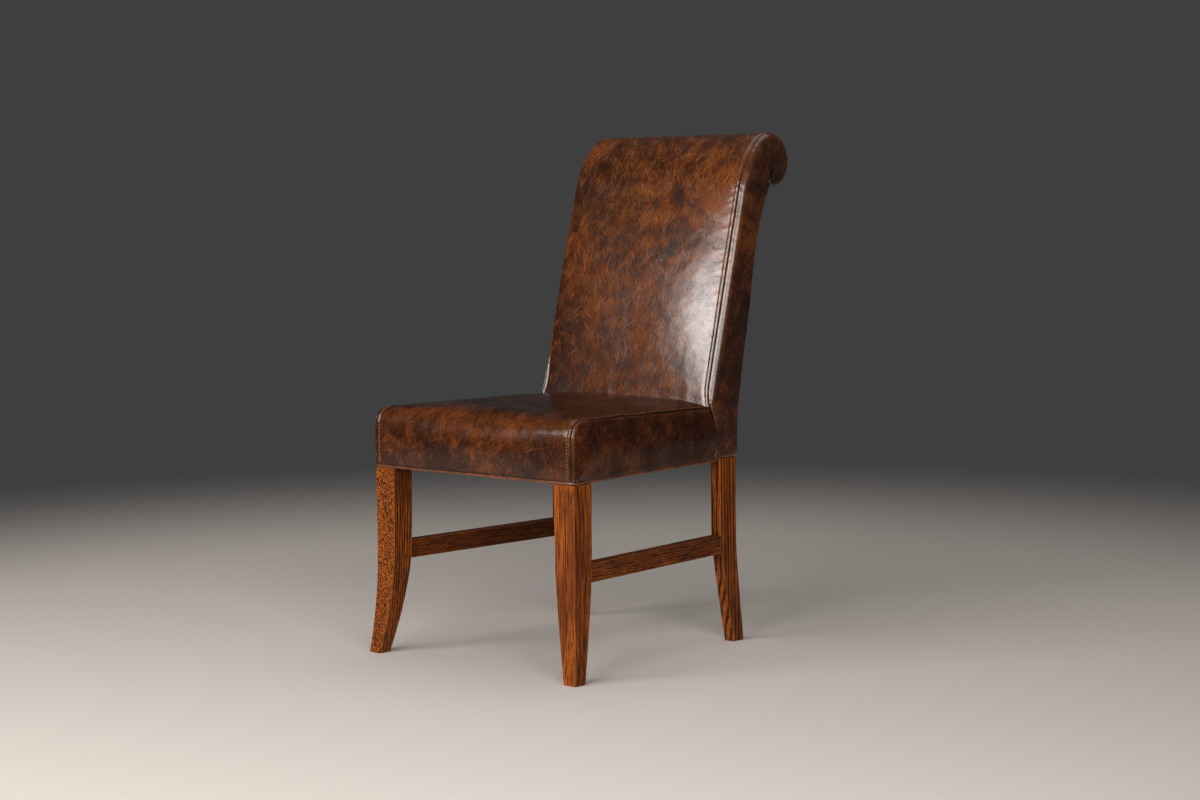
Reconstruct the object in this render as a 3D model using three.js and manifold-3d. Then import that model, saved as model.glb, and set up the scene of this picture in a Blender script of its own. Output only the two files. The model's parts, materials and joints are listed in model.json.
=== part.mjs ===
// A scroll-back dining chair: leather over foam on a hardwood frame, with sabre legs in
// front, posts that run from the floor to the scroll behind, and two side stretchers.
// Lengths are in millimetres. The chair faces -Y, its own left is +X and +Z is up.
// Y is measured from the front legs' front faces until the last lines centre the chair.

import * as THREE from 'three';
import { mergeVertices } from 'three/addons/utils/BufferGeometryUtils.js';
import Module from 'manifold-3d';

const wasm = await Module();
wasm.setup();

// Overall form, over the leather
const chairHeight = 1000;
const seatBottom = 360;
const seatFrontHeight = 116;
const seatRearHeight = 106;
const seatDepth = 434;
const seatFrontWidth = 518;
const seatRearProud = 3;
const backWidth = 452;
const backRake = 14.5;
const scrollRadius = 55;
const scrollSetback = 80;
const neckRadius = 190;
const scrollEndAngle = -106;

// Soft form
const seatCrown = 18;
const frontBulge = 5;
const sideBulge = 3;
const seatCornerRadius = 30;
const backCrown = 8;
const backEdgeRoll = 14;
const outsideBackBulge = 3;
const crownSquareness = 4;
const coverProud = 2;
const coverThickness = 3;
const thinPad = 4.6;
const backFoamThickness = 30;
const scrollFoamThickness = 10;

// Where the soft panels swell, as shares of a panel's run or of its full swell
const frontSwellShares = [0.2, 0.8];
const seatCrownShares = [0.3, 0.7];
const seatCrownTurnShare = 0.75;
const backCrownEndShare = 0.9;
const grooveBendShare = 0.55;
const domeShares = [[0.97, 0], [0.8, 0.7], [0.45, 1]];

// Clearances
const fitGap = 0.3;
const paddingGap = 0.6;
const seamGap = 1;
const cutOverrun = 5;

// Front legs: a square top that narrows and flares to the foot
const legTopSize = 50;
const legFootWidth = 30;
const legFootDepth = 28;
const legFlareOut = 12;
const legFlareForward = 14;
const legNarrowing = 4;
const legBendHeight = 200;
const legWidthPower = 1.3;
const legDepthPower = 1.2;
const edgeEase = 1.5;

// Rear posts
const postThickness = 24.4;
const postDepth = 50;
const postSetback = 33;
const postSweepFront = 40;
const postSweepRear = 22;
const postSweepPowers = [1.1, 1.3];
const postShoulderRise = 6;
const postTopGap = 0.9;
const lapLength = 55;
const lapTuckShares = [0.75, 0.6];
const outsideBackFlare = 4.3;
const neckRoom = 1.9;
const neckDrop = 200;

// Stretchers
const stretcherHeight = 35;
const stretcherThickness = 24;
const stretcherDrop = 21;
const stretcherInset = 6;

// Seat frame
const railHeight = 58;
const railThickness = 20;
const railLift = 2;
const tenonThickness = 10;
const tenonLength = 18;
const tenonShoulder = 8;
const blockReach = 62;
const blockHeight = 40;
const dustCoverThickness = 1;
const hemInset = 6;

// Back frame
const backRailHeight = 55;
const backRailThickness = 20;
const backRailTenon = 13;
const lowerRailRise = 12;
const upperRailDrop = 222;
const battenWidth = 18;
const battenDepth = 12;
const battenAngles = [140, 45, -50];
const skinAngles = [150, -96];
const skinThickness = 1.7;

// Webbing and cloth
const strapWidth = 50;
const strapThickness = 1.5;
const seatStrapSpacing = 105;
const backStrapSpacing = 78;
const backStrapStart = 40;
const backStrapDrop = 13;
const clothThickness = 1;

// Screws and welt
const screwRadius = 2;
const screwHeadRadius = 4;
const screwHeadHeight = 2.5;
const blockScrewLength = 36;
const lapScrewLength = 17;
const weltRadius = 4;
const weltCornerRadius = 9;

// How finely round shapes are cut
const arcSteps = 6;
const scrollSteps = 16;
const legSteps = 10;
const acrossSteps = 12;
const roundSides = 8;
const weltSides = 8;
const weltSteps = 96;

// Derived levels and planes
const radians = THREE.MathUtils.degToRad;
const wrap = coverThickness + paddingGap + thinPad + fitGap;
const coverFront = -coverProud;
const seatEdgeFront = seatBottom + seatFrontHeight;
const seatEdgeRear = seatBottom + seatRearHeight;
const seatRearY = coverFront + seatDepth;
const railBottom = seatBottom + railLift;
const railTop = railBottom + railHeight;
const weltTop = seatBottom + 2 * weltRadius + 2 * fitGap;
const strapLevel = railTop + fitGap;
const crossStrapLevel = strapLevel + strapThickness + fitGap;
const clothLevel = crossStrapLevel + strapThickness + fitGap;
const foamLevel = clothLevel + clothThickness + fitGap;
const legOuter = seatFrontWidth / 2 - coverProud;
const legInner = legOuter - legTopSize;
const legBlockFront = coverFront + wrap;
const backHalf = backWidth / 2;
const seatRearWidth = backWidth + 2 * seatRearProud;
const postFront = seatRearY + postSetback;
const postRear = postFront + postDepth;
const postOuter = backHalf - coverThickness - fitGap - fitGap;
const postInner = postOuter - postThickness;
const postCoreOuter = backHalf - wrap;
const postShoulder = seatBottom + postShoulderRise;
const rearFace = postRear + coverProud;
const scrollHeight = chairHeight - scrollRadius;
const scrollCore = scrollRadius - coverThickness - paddingGap - scrollFoamThickness
  - skinThickness - 2 * fitGap;
const crownStart = seatEdgeRear + seatCrown;

// Finishes
const finish = (color, roughness, metalness = 0) =>
  new THREE.MeshStandardMaterial({ color, roughness, metalness });
const leather = finish(0x56290f, 0.34);
const weltLeather = finish(0x4a220d, 0.38);
const stainedWood = finish(0x5e2c12, 0.45);
const frameWood = finish(0xc39a66, 0.8);
const foam = finish(0xe6dcb0, 0.95);
const webbing = finish(0x8a7350, 0.9);
const cloth = finish(0x1a1a1b, 0.95);
const steel = finish(0x9a9a9c, 0.35, 1);

const chair = new THREE.Group();

function addPiece(name, shape, material) {
  const geometry = geometryOf(shape.isBufferGeometry ? solid(shape) : shape);
  const mesh = new THREE.Mesh(geometry, material);
  mesh.name = name;
  chair.add(mesh);
}

// Closed solids for joining and cutting
function solid(geometry) {
  const bare = geometry.clone();
  bare.deleteAttribute('normal');
  bare.deleteAttribute('uv');
  const merged = mergeVertices(bare);
  const corners = Array.from(merged.index.array);
  const whole = corners.filter((corner, i) => {
    const [a, b, c] = corners.slice(i - (i % 3), i - (i % 3) + 3);
    return a !== b && b !== c && c !== a;
  });
  return new wasm.Manifold(new wasm.Mesh({
    numProp: 3,
    vertProperties: new Float32Array(merged.attributes.position.array),
    triVerts: new Uint32Array(whole),
  }));
}

function geometryOf(body) {
  const { vertProperties, triVerts } = body.getMesh();
  const geometry = new THREE.BufferGeometry();
  geometry.setAttribute('position', new THREE.BufferAttribute(vertProperties, 3));
  geometry.setIndex(new THREE.BufferAttribute(triVerts, 1));
  geometry.computeVertexNormals();
  return geometry;
}

// A box between two corners, given in any order along X so that it serves both sides
function box(xA, xB, yLow, yHigh, zLow, zHigh) {
  const size = [Math.abs(xB - xA), yHigh - yLow, zHigh - zLow];
  const geometry = new THREE.BoxGeometry(...size);
  return geometry.translate((xA + xB) / 2, (yLow + yHigh) / 2, (zLow + zHigh) / 2);
}

// A board cut to a plan outline of Vector2(x, y), standing from zLow to zHigh
function boardAlongZ(plan, zLow, zHigh) {
  const settings = { depth: zHigh - zLow, bevelEnabled: false };
  return new THREE.ExtrudeGeometry(new THREE.Shape(plan), settings).translate(0, 0, zLow);
}

// A board cut to a side outline of Vector2(y, z), from xA to xB, with eased arrises
function boardAlongX(outline, xA, xB, ease = 0) {
  const settings = {
    depth: Math.abs(xB - xA) - 2 * ease,
    bevelEnabled: ease > 0,
    bevelThickness: ease,
    bevelSize: ease,
    bevelOffset: -ease,
    bevelSegments: 1,
  };
  const geometry = new THREE.ExtrudeGeometry(new THREE.Shape(outline), settings);
  const axes = [new THREE.Vector3(0, 1, 0), new THREE.Vector3(0, 0, 1), new THREE.Vector3(1, 0, 0)];
  geometry.applyMatrix4(new THREE.Matrix4().makeBasis(...axes));
  return geometry.translate(Math.min(xA, xB) + ease, 0, 0);
}

// Triangles over a flat ring, wound the way the ring runs. Points in the middle of a
// straight stretch can be passed over, so the triangle beside each is split to take it in.
function capTriangles(flatRing) {
  const areaOf = (triangle) => THREE.ShapeUtils.area(triangle.map((i) => flatRing[i]));
  const found = THREE.ShapeUtils.triangulateShape(flatRing, []);
  const total = found.reduce((sum, triangle) => sum + areaOf(triangle), 0);
  const agrees = total * THREE.ShapeUtils.area(flatRing) > 0;
  const triangles = found.map(([a, b, c]) => (agrees ? [a, b, c] : [a, c, b]));
  const used = new Set(triangles.flat());
  const takeIn = (triangle) => {
    for (let turn = 0; turn < 3; turn += 1) {
      const [a, b, c] = [0, 1, 2].map((i) => triangle[(i + turn) % 3]);
      const passed = (a + 1) % flatRing.length;
      if (passed !== b && !used.has(passed)) {
        used.add(passed);
        return [...takeIn([a, passed, c]), ...takeIn([passed, b, c])];
      }
    }
    return [triangle];
  };
  return triangles.flatMap(takeIn);
}

// A skin through rings of equal length: capped at both ends, or joined end to end
function loft(rings, flatten, endless = false) {
  const ringSize = rings[0].length;
  const positions = rings.flat().flatMap((point) => point.toArray());
  const index = [];
  const spans = endless ? rings.length : rings.length - 1;
  for (let i = 0; i < spans; i += 1) {
    const here = i * ringSize;
    const there = ((i + 1) % rings.length) * ringSize;
    for (let j = 0; j < ringSize; j += 1) {
      const next = (j + 1) % ringSize;
      index.push(here + j, here + next, there + next);
      index.push(here + j, there + next, there + j);
    }
  }
  if (!endless) {
    const last = (rings.length - 1) * ringSize;
    capTriangles(rings[0].map(flatten)).forEach(([a, b, c]) => index.push(a, c, b));
    capTriangles(rings.at(-1).map(flatten))
      .forEach(([a, b, c]) => index.push(last + a, last + b, last + c));
  }
  const geometry = new THREE.BufferGeometry();
  geometry.setAttribute('position', new THREE.Float32BufferAttribute(positions, 3));
  geometry.setIndex(signedVolume(positions, index) < 0 ? index.reverse() : index);
  geometry.computeVertexNormals();
  return geometry;
}

function signedVolume(positions, index) {
  const corner = (i) => new THREE.Vector3().fromArray(positions, i * 3);
  let total = 0;
  for (let i = 0; i < index.length; i += 3) {
    total += corner(index[i]).dot(corner(index[i + 1]).cross(corner(index[i + 2])));
  }
  return total;
}

const sideView = (point) => new THREE.Vector2(point.y, point.z);
const planView = (point) => new THREE.Vector2(point.x, point.y);
const steps = (count) => Array.from({ length: count + 1 }, (_, i) => i / count);
const mix = THREE.MathUtils.lerp;
const bothSides = [['left', 1], ['right', -1]];
const edgeFade = (across) => 1 - Math.abs(across) ** crownSquareness;

// Half the seat's width over the leather at a depth
function seatHalf(y) {
  return mix(seatFrontWidth, seatRearWidth, (y - coverFront) / seatDepth) / 2;
}

// Front of the inside back at a height, where its lower part is straight
function backLine(z) {
  return seatRearY + Math.tan(radians(backRake)) * (z - seatEdgeRear);
}

// The back's side outline: a raked line, a neck arc and the scroll
const rakeUp = new THREE.Vector2(Math.sin(radians(backRake)), Math.cos(radians(backRake)));
const rakeIn = new THREE.Vector2(rakeUp.y, -rakeUp.x);
const lineStart = new THREE.Vector2(seatRearY, seatEdgeRear);
const climb = (scrollHeight - seatEdgeRear + scrollSetback * -rakeIn.y) / rakeUp.y;
const scrollFoot = lineStart.clone().addScaledVector(rakeUp, climb);
const scrollCentre = scrollFoot.clone().addScaledVector(rakeIn, scrollSetback);
const neckRun = Math.sqrt(
  (neckRadius - scrollRadius) ** 2 - (neckRadius - scrollSetback) ** 2,
);
const neckFoot = scrollFoot.clone().addScaledVector(rakeUp, -neckRun);
const neckCentre = neckFoot.clone().addScaledVector(rakeIn, neckRadius);
const neckStartAngle = rakeIn.clone().negate().angle();
const neckEndAngle = scrollCentre.clone().sub(neckCentre).angle();

function onCircle(centre, radius, angle) {
  const spoke = new THREE.Vector2(Math.cos(angle), Math.sin(angle));
  return centre.clone().addScaledVector(spoke, radius);
}

// Points up the front of the back, over the scroll and under it, moved in by a depth.
// The crown is how far the panel stands out between the seat and the neck.
function frontPath(startHeight, inset, crown = 0) {
  const onLine = (z) =>
    lineStart.clone().addScaledVector(rakeUp, (z - seatEdgeRear) / rakeUp.y);
  const points = [startHeight, seatEdgeRear]
    .filter((z, i) => i === 0 || z > startHeight)
    .map((z) => onLine(z).addScaledVector(rakeIn, inset));
  for (const share of steps(arcSteps)) {
    const swell = crown * Math.sin(Math.PI * share * backCrownEndShare);
    const place = onLine(crownStart).lerp(neckFoot, share);
    points.push(place.addScaledVector(rakeIn, inset - swell));
  }
  const crownAtNeck = crown * Math.sin(Math.PI * backCrownEndShare);
  for (const share of steps(arcSteps).slice(1)) {
    const angle = mix(neckStartAngle, neckEndAngle, share);
    const swell = crownAtNeck * (1 - share);
    points.push(onCircle(neckCentre, neckRadius - inset + swell, angle));
  }
  for (const share of steps(scrollSteps).slice(1)) {
    const angle = mix(neckEndAngle, radians(scrollEndAngle), share);
    points.push(onCircle(scrollCentre, scrollRadius - inset, angle));
  }
  return points;
}

// Points down the outside back, from under the scroll to the bottom edge
const crease = onCircle(scrollCentre, scrollRadius, radians(scrollEndAngle));
const neckLevel = chairHeight - neckDrop;
const seatLevel = (seatEdgeFront + seatEdgeRear) / 2;
const frameDepth = (coverThickness + backFoamThickness + strapThickness + 3 * fitGap) / rakeUp.y;
const backDepthAtNeck = frameDepth + (backRailThickness + neckRoom + wrap) / rakeUp.y;
const backDepthAtSeat = rearFace + outsideBackFlare - backLine(seatLevel);
const rearCurve = new THREE.SplineCurve([
  crease,
  new THREE.Vector2(backLine(neckLevel) + backDepthAtNeck, neckLevel),
  new THREE.Vector2(
    backLine((neckLevel + seatLevel) / 2) + (backDepthAtNeck + backDepthAtSeat) / 2,
    (neckLevel + seatLevel) / 2,
  ),
  new THREE.Vector2(backLine(seatLevel) + backDepthAtSeat, seatLevel),
  new THREE.Vector2(rearFace, postShoulder + 2 * weltRadius + 2 * fitGap),
]);

function rearPath(inset, bulge = 0) {
  return steps(2 * arcSteps).map((share) => {
    const ahead = rearCurve.getTangent(share);
    const inward = new THREE.Vector2(ahead.y, -ahead.x);
    const swell = bulge * Math.sin(Math.PI * share);
    return rearCurve.getPoint(share).addScaledVector(inward, inset - swell);
  });
}

// Where a path that runs downward passes a height
function passing(path, z) {
  const below = path.findIndex((point) => point.y <= z);
  if (below < 1) return new THREE.Vector2(path.at(below).x, z);
  const [upper, lower] = [path[below - 1], path[below]];
  return upper.clone().lerp(lower, (upper.y - z) / (upper.y - lower.y));
}

// The stretch of a path that runs downward, between two heights
function stretch(path, zHigh, zLow) {
  const between = path.filter((point) => point.y < zHigh && point.y > zLow);
  return [passing(path, zHigh), ...between, passing(path, zLow)];
}

// The seat cover's side outline: up the front, over the corner and back along the top
function seatPath(across, inset) {
  const edge = edgeFade(across);
  const [crownAtFront, crownRise] = seatCrownShares;
  const topStart = coverFront + seatCornerRadius;
  const points = [];
  for (const share of steps(arcSteps / 2)) {
    const swell = frontBulge * edge * Math.sin(Math.PI * mix(...frontSwellShares, share));
    const z = mix(weltTop, seatEdgeFront - seatCornerRadius, share);
    points.push(new THREE.Vector2(coverFront + inset - swell, z));
  }
  const cornerCentre = new THREE.Vector2(topStart, seatEdgeFront - seatCornerRadius);
  const frontSwell = frontBulge * edge * Math.sin(Math.PI * frontSwellShares[1]);
  const topSwell = seatCrown * edge * crownAtFront;
  for (const share of steps(arcSteps).slice(1)) {
    const radius = seatCornerRadius - inset + mix(frontSwell, topSwell, share);
    points.push(onCircle(cornerCentre, radius, Math.PI - share * Math.PI / 2));
  }
  for (const share of steps(arcSteps).slice(1)) {
    const turn = Math.sin(Math.PI * seatCrownTurnShare * share);
    const swell = seatCrown * edge * (crownAtFront + crownRise * turn);
    const z = mix(seatEdgeFront, seatEdgeRear, share) - inset + swell;
    const rearEnd = backLine(z) - paddingGap;
    points.push(new THREE.Vector2(mix(topStart, rearEnd, share), z));
  }
  return points;
}

// The groove where the seat's side panel meets the back's side panel
const stepStart = seatRearY + 3 * weltRadius;
const grooveCurve = new THREE.QuadraticBezierCurve(
  new THREE.Vector2(seatRearY, seatEdgeRear),
  new THREE.Vector2(postFront + seamGap, mix(weltTop, seatEdgeRear, grooveBendShare)),
  new THREE.Vector2(stepStart, weltTop),
);

// Places across a panel, closer together near its edges
const acrossPlaces = steps(acrossSteps).map((share) => Math.sin(Math.PI * (share - 1 / 2)));

// Turns from the front of a rolled edge round to its side
const rollTurns = steps(arcSteps / 2).map((share) => share * Math.PI / 2);

// A panel of cover between an outer and an inner path, or a block behind one path
function acrossLoft(ringAt, halfAt) {
  const rings = acrossPlaces.map((across) =>
    ringAt(across).map((point) => new THREE.Vector3(across * halfAt(point.x), point.x, point.y)));
  return loft(rings, sideView);
}

// The welt: one leather-covered cord round the bottom edge, stepping up over the rear legs
function weltTube(radius) {
  const low = seatBottom + weltRadius + fitGap;
  const high = postShoulder + weltRadius + fitGap;
  const front = coverFront + weltRadius;
  const rear = rearFace - weltRadius;
  const backX = backHalf - weltRadius;
  const sideX = (y) => seatHalf(y) - weltRadius;
  const stepRun = 3 * weltRadius;
  const rising = steps(arcSteps).map((share) => {
    const rise = THREE.MathUtils.smoothstep(share, 0, 1);
    const y = stepStart + share * stepRun;
    return [mix(sideX(y), backX, rise), y, mix(low, high, rise)];
  });
  const round = (x, y, startAngle, z) => steps(arcSteps / 2).map((share) => {
    const angle = startAngle + share * Math.PI / 2;
    return [
      x + weltCornerRadius * Math.cos(angle), y + weltCornerRadius * Math.sin(angle), z,
    ];
  });
  const halfPath = [
    [0, front, low], [legInner / 2, front, low],
    ...round(sideX(front) - weltCornerRadius, front + weltCornerRadius, -Math.PI / 2, low),
    [sideX(seatDepth / 3), seatDepth / 3, low], [sideX(seatDepth * 2 / 3), seatDepth * 2 / 3, low],
    [sideX(stepStart - stepRun), stepStart - stepRun, low], ...rising,
    [backX, stepStart + 2 * stepRun, high],
    ...round(backX - weltCornerRadius, rear - weltCornerRadius, 0, high),
    [postInner / 2, rear, high], [0, rear, high],
  ];
  const other = halfPath.slice(1, -1).map(([x, y, z]) => [-x, y, z]).reverse();
  const points = [...halfPath, ...other].map((point) => new THREE.Vector3(...point));
  const curve = new THREE.CatmullRomCurve3(points, true, 'centripetal');
  const rings = steps(weltSteps).slice(1).map((share) => {
    const centre = curve.getPoint(share);
    const ahead = curve.getTangent(share);
    const aside = new THREE.Vector3().crossVectors(ahead, new THREE.Vector3(0, 0, 1)).normalize();
    const above = new THREE.Vector3().crossVectors(aside, ahead);
    return steps(weltSides).slice(1).map((turn) => {
      const angle = turn * 2 * Math.PI;
      return centre.clone()
        .addScaledVector(aside, radius * Math.cos(angle))
        .addScaledVector(above, radius * Math.sin(angle));
    });
  });
  return solid(loft(rings, planView, true));
}

const welt = weltTube(weltRadius);
const weltRoom = weltTube(weltRadius + fitGap);

// Front legs: a lofted sabre leg with a narrower block above its shoulder
function bend(z, height) {
  return Math.max(0, (height - z) / height);
}

function legSection(side, z, grow = 0) {
  const sweep = bend(z, legBendHeight);
  const narrowing = legNarrowing * (seatBottom - z) / seatBottom;
  const outer = legOuter + legFlareOut * sweep ** 2 + grow;
  const front = -legFlareForward * sweep ** 2 - grow;
  const footWidth = legTopSize - legNarrowing - legFootWidth;
  const footDepth = legTopSize - legNarrowing - legFootDepth;
  const inner = outer - legTopSize + narrowing + footWidth * sweep ** legWidthPower - 2 * grow;
  const rear = front + legTopSize - narrowing - footDepth * sweep ** legDepthPower + 2 * grow;
  const ease = edgeEase;
  const corners = [
    [inner + ease, front], [outer - ease, front], [outer, front + ease], [outer, rear - ease],
    [outer - ease, rear], [inner + ease, rear], [inner, rear - ease], [inner, front + ease],
  ];
  return corners.map(([x, y]) => new THREE.Vector3(side * x, y, z));
}

function shrinkRing(ring, amount, z) {
  const centre = ring.reduce((sum, point) => sum.add(point), new THREE.Vector3());
  centre.divideScalar(ring.length);
  return ring.map((point) => {
    const inward = centre.clone().sub(point).setZ(0).setLength(amount);
    return point.clone().add(inward).setZ(z);
  });
}

const sideTenonHigh = railTop - tenonShoulder;
const sideTenonLow = railBottom + tenonShoulder;
const stretcherBottom = legBendHeight - stretcherDrop;
const stretcherTop = stretcherBottom + stretcherHeight;
const stretcherMiddle = (stretcherBottom + stretcherTop) / 2;
const legRearAtStretcher = legSection(1, stretcherMiddle)[4].y;
const legOuterAtStretcher = legSection(1, stretcherMiddle)[2].x;

// Tenons and the mortises that hold them share one box, grown by the fit gap for the mortise
function frontRailTenon(side, grow) {
  const front = legBlockFront + (railThickness - tenonThickness) / 2;
  return box(
    side * (legInner - cutOverrun), side * (legInner + tenonLength + grow),
    front - grow, front + tenonThickness + grow, sideTenonLow - grow, sideTenonHigh + grow,
  );
}

function sideRailCentre(y) {
  return seatHalf(y) - wrap - railThickness / 2;
}

function sideRailFrontTenon(side, grow) {
  const centre = sideRailCentre(legTopSize);
  return box(
    side * (centre - tenonThickness / 2 - grow), side * (centre + tenonThickness / 2 + grow),
    legTopSize - tenonLength - grow, legTopSize + cutOverrun,
    sideTenonLow - grow, sideTenonHigh + grow,
  );
}

function sideRailRearTenon(side, grow) {
  const centre = sideRailCentre(postFront);
  return box(
    side * (centre - tenonThickness / 2 - grow), side * (centre + tenonThickness / 2 + grow),
    postFront - cutOverrun, postFront + tenonLength + grow,
    sideTenonLow - grow, sideTenonHigh + grow,
  );
}

const rearRailFront = postFront + tenonLength - (railThickness - tenonThickness) / 2;
const rearRailRear = rearRailFront + railThickness;

function rearRailTenon(side, grow) {
  const front = rearRailFront + (railThickness - tenonThickness) / 2 + fitGap;
  return box(
    side * (postInner - cutOverrun), side * (postInner + backRailTenon + grow),
    front - grow, front + tenonThickness + grow, sideTenonLow - grow, sideTenonHigh + grow,
  );
}

const stretcherFrontOuter = legOuterAtStretcher - stretcherInset;
const stretcherRearOuter = postOuter - fitGap;

function stretcherTenon(side, outer, yLow, yHigh, grow) {
  const middle = outer - stretcherThickness / 2;
  const shoulder = tenonShoulder / 2;
  return box(
    side * (middle - tenonThickness / 2 - grow), side * (middle + tenonThickness / 2 + grow),
    yLow, yHigh, stretcherBottom + shoulder - grow, stretcherTop - shoulder + grow,
  );
}

function stretcherFrontTenon(side, grow) {
  const end = legRearAtStretcher - tenonLength - grow;
  return stretcherTenon(side, stretcherFrontOuter, end, legRearAtStretcher + cutOverrun, grow);
}

function stretcherRearTenon(side, grow) {
  const end = postFront + tenonLength + grow;
  return stretcherTenon(side, stretcherRearOuter, postFront - cutOverrun, end, grow);
}

function sabreLeg(side, grow) {
  const levels = steps(legSteps).map((share) => share * legBendHeight).concat(seatBottom);
  const rings = levels.map((z) => legSection(side, z, grow));
  const footRing = shrinkRing(rings[0], edgeEase, 0);
  rings[0] = legSection(side, edgeEase, grow);
  return solid(loft([footRing, ...rings], planView));
}

function buildFrontLeg(name, side) {
  const leg = sabreLeg(side, 0);
  const blockOuter = (y) => seatHalf(y) - wrap;
  const blockPlanOutline = [
    [legInner, legBlockFront], [blockOuter(legBlockFront), legBlockFront],
    [blockOuter(legTopSize), legTopSize], [legInner, legTopSize],
  ].map(([x, y]) => new THREE.Vector2(side * x, y));
  const block = solid(boardAlongZ(blockPlanOutline, seatBottom - cutOverrun, railTop));
  const shaped = leg.add(block)
    .subtract(weltRoom)
    .subtract(solid(frontRailTenon(side, fitGap)))
    .subtract(solid(sideRailFrontTenon(side, fitGap)))
    .subtract(solid(stretcherFrontTenon(side, fitGap)));
  addPiece(name, shaped, stainedWood);
}

// Rear posts: leg below the shoulder, back post above it, half lapped to the scroll cheek
const postBend = seatEdgeRear
  - (backLine(seatEdgeRear) + frameDepth - postFront) / Math.tan(radians(backRake));

const postTop = scrollHeight - scrollCore - postTopGap;
const lapStart = postTop - lapLength;

function postFrontAt(z) {
  return Math.max(postFront, backLine(z) + frameDepth);
}

function postOutline(zLow, zHigh) {
  const heights = [zLow, postBend, lapStart, zHigh].filter((z) => z >= zLow && z <= zHigh);
  const sorted = [...new Set(heights)];
  const frontEdge = sorted.map((z) => new THREE.Vector2(postFrontAt(z), z));
  return [...frontEdge, ...stretch(rearPath(wrap), zHigh, zLow)];
}

function legOutline() {
  const heights = steps(legSteps).map((share) => share * legBendHeight);
  const swept = (start, sweep, power) => heights.map((z) =>
    new THREE.Vector2(start + sweep * bend(z, legBendHeight) ** power, z));
  const frontSweep = swept(postFront, postSweepFront, postSweepPowers[0]);
  const rearSweep = swept(postRear, postSweepRear, postSweepPowers[1]);
  return [
    ...frontSweep, new THREE.Vector2(postFront, postShoulder),
    new THREE.Vector2(postRear, postShoulder), ...rearSweep.reverse(),
  ];
}

// A rail across the back, square to the posts' rake, as an outline in side view
function rakedBar(centre, depth, height) {
  const along = rakeUp.clone().multiplyScalar(height / 2);
  const through = rakeIn.clone().multiplyScalar(depth / 2);
  return [[-1, -1], [1, -1], [1, 1], [-1, 1]].map(([d, h]) =>
    centre.clone().addScaledVector(through, d).addScaledVector(along, h));
}

function postMiddle(z) {
  return new THREE.Vector2((postFrontAt(z) + passing(rearPath(wrap), z).x) / 2, z);
}

const lowerRailCentre = postMiddle(seatEdgeRear + lowerRailRise);
const upperRailCentre = postMiddle(chairHeight - upperRailDrop);

function backRailTenonBox(side, centre, grow) {
  const outline = rakedBar(centre, tenonThickness + 2 * grow, backRailHeight / 2 + 2 * grow);
  const end = postInner + backRailTenon + grow;
  return boardAlongX(outline, side * (postInner - cutOverrun), side * end);
}

const lapMiddle = (postInner + postCoreOuter) / 2;
const lapScrewHeights = [1, 3].map((quarter) => mix(lapStart, postTop, quarter / 4));

// A screw lies along its own -Z from the underside of its head
function screw(length, grow) {
  const profile = [
    [0, -length - grow], [screwRadius + grow, -length - grow], [screwRadius + grow, 0],
    [screwHeadRadius + grow, 0], [screwHeadRadius + grow, screwHeadHeight], [0, screwHeadHeight],
  ].map(([radius, height]) => new THREE.Vector2(radius, height));
  return new THREE.LatheGeometry(profile, roundSides).rotateX(Math.PI / 2);
}

// Turns a screw so that it drives along a direction from a place on the surface
function driven(geometry, place, direction) {
  const turn = new THREE.Quaternion().setFromUnitVectors(new THREE.Vector3(0, 0, -1), direction);
  return geometry.applyQuaternion(turn).translate(...place.toArray());
}

function lapScrew(side, z, grow) {
  const place = postMiddle(z);
  const under = side * (postCoreOuter - screwHeadHeight - fitGap);
  const head = new THREE.Vector3(under, place.x, place.y);
  return driven(screw(lapScrewLength, grow), head, new THREE.Vector3(-side, 0, 0));
}

function buildRearPost(name, side) {
  const lower = solid(boardAlongX(legOutline(), side * postInner, side * postOuter, edgeEase));
  const upper = solid(boardAlongX(
    postOutline(postShoulder - cutOverrun, postTop), side * postInner, side * postCoreOuter,
  ));
  const lap = solid(box(
    side * (lapMiddle - fitGap / 2), side * (postCoreOuter + cutOverrun),
    postFront, rearFace + chairHeight, lapStart, chairHeight,
  ));
  let shaped = lower.add(upper).subtract(lap)
    .subtract(weltRoom)
    .subtract(solid(sideRailRearTenon(side, fitGap)))
    .subtract(solid(rearRailTenon(side, fitGap)))
    .subtract(solid(stretcherRearTenon(side, fitGap)))
    .subtract(solid(backRailTenonBox(side, lowerRailCentre, fitGap)))
    .subtract(solid(backRailTenonBox(side, upperRailCentre, fitGap)));
  for (const z of lapScrewHeights) shaped = shaped.subtract(solid(lapScrew(side, z, fitGap)));
  addPiece(name, shaped, stainedWood);
}

function buildStretcher(name, side) {
  const front = legRearAtStretcher - tenonLength / 2;
  const rear = postFront - fitGap;
  const frontInner = stretcherFrontOuter - stretcherThickness;
  const rearInner = stretcherRearOuter - stretcherThickness;
  const plan = [
    [frontInner, front], [stretcherFrontOuter, front],
    [stretcherRearOuter, rear], [rearInner, rear],
  ].map(([x, y]) => new THREE.Vector2(side * x, y));
  const bar = solid(boardAlongZ(plan, stretcherBottom, stretcherTop))
    .subtract(sabreLeg(side, fitGap))
    .add(solid(stretcherFrontTenon(side, 0)))
    .add(solid(stretcherRearTenon(side, 0)));
  addPiece(name, bar, stainedWood);
}

// Seat frame: four rails, tenoned into the legs and posts, and four screwed corner blocks
function sideRailInner(y) {
  return seatHalf(y) - wrap - railThickness;
}

const frontRailRear = legBlockFront + railThickness;

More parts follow.
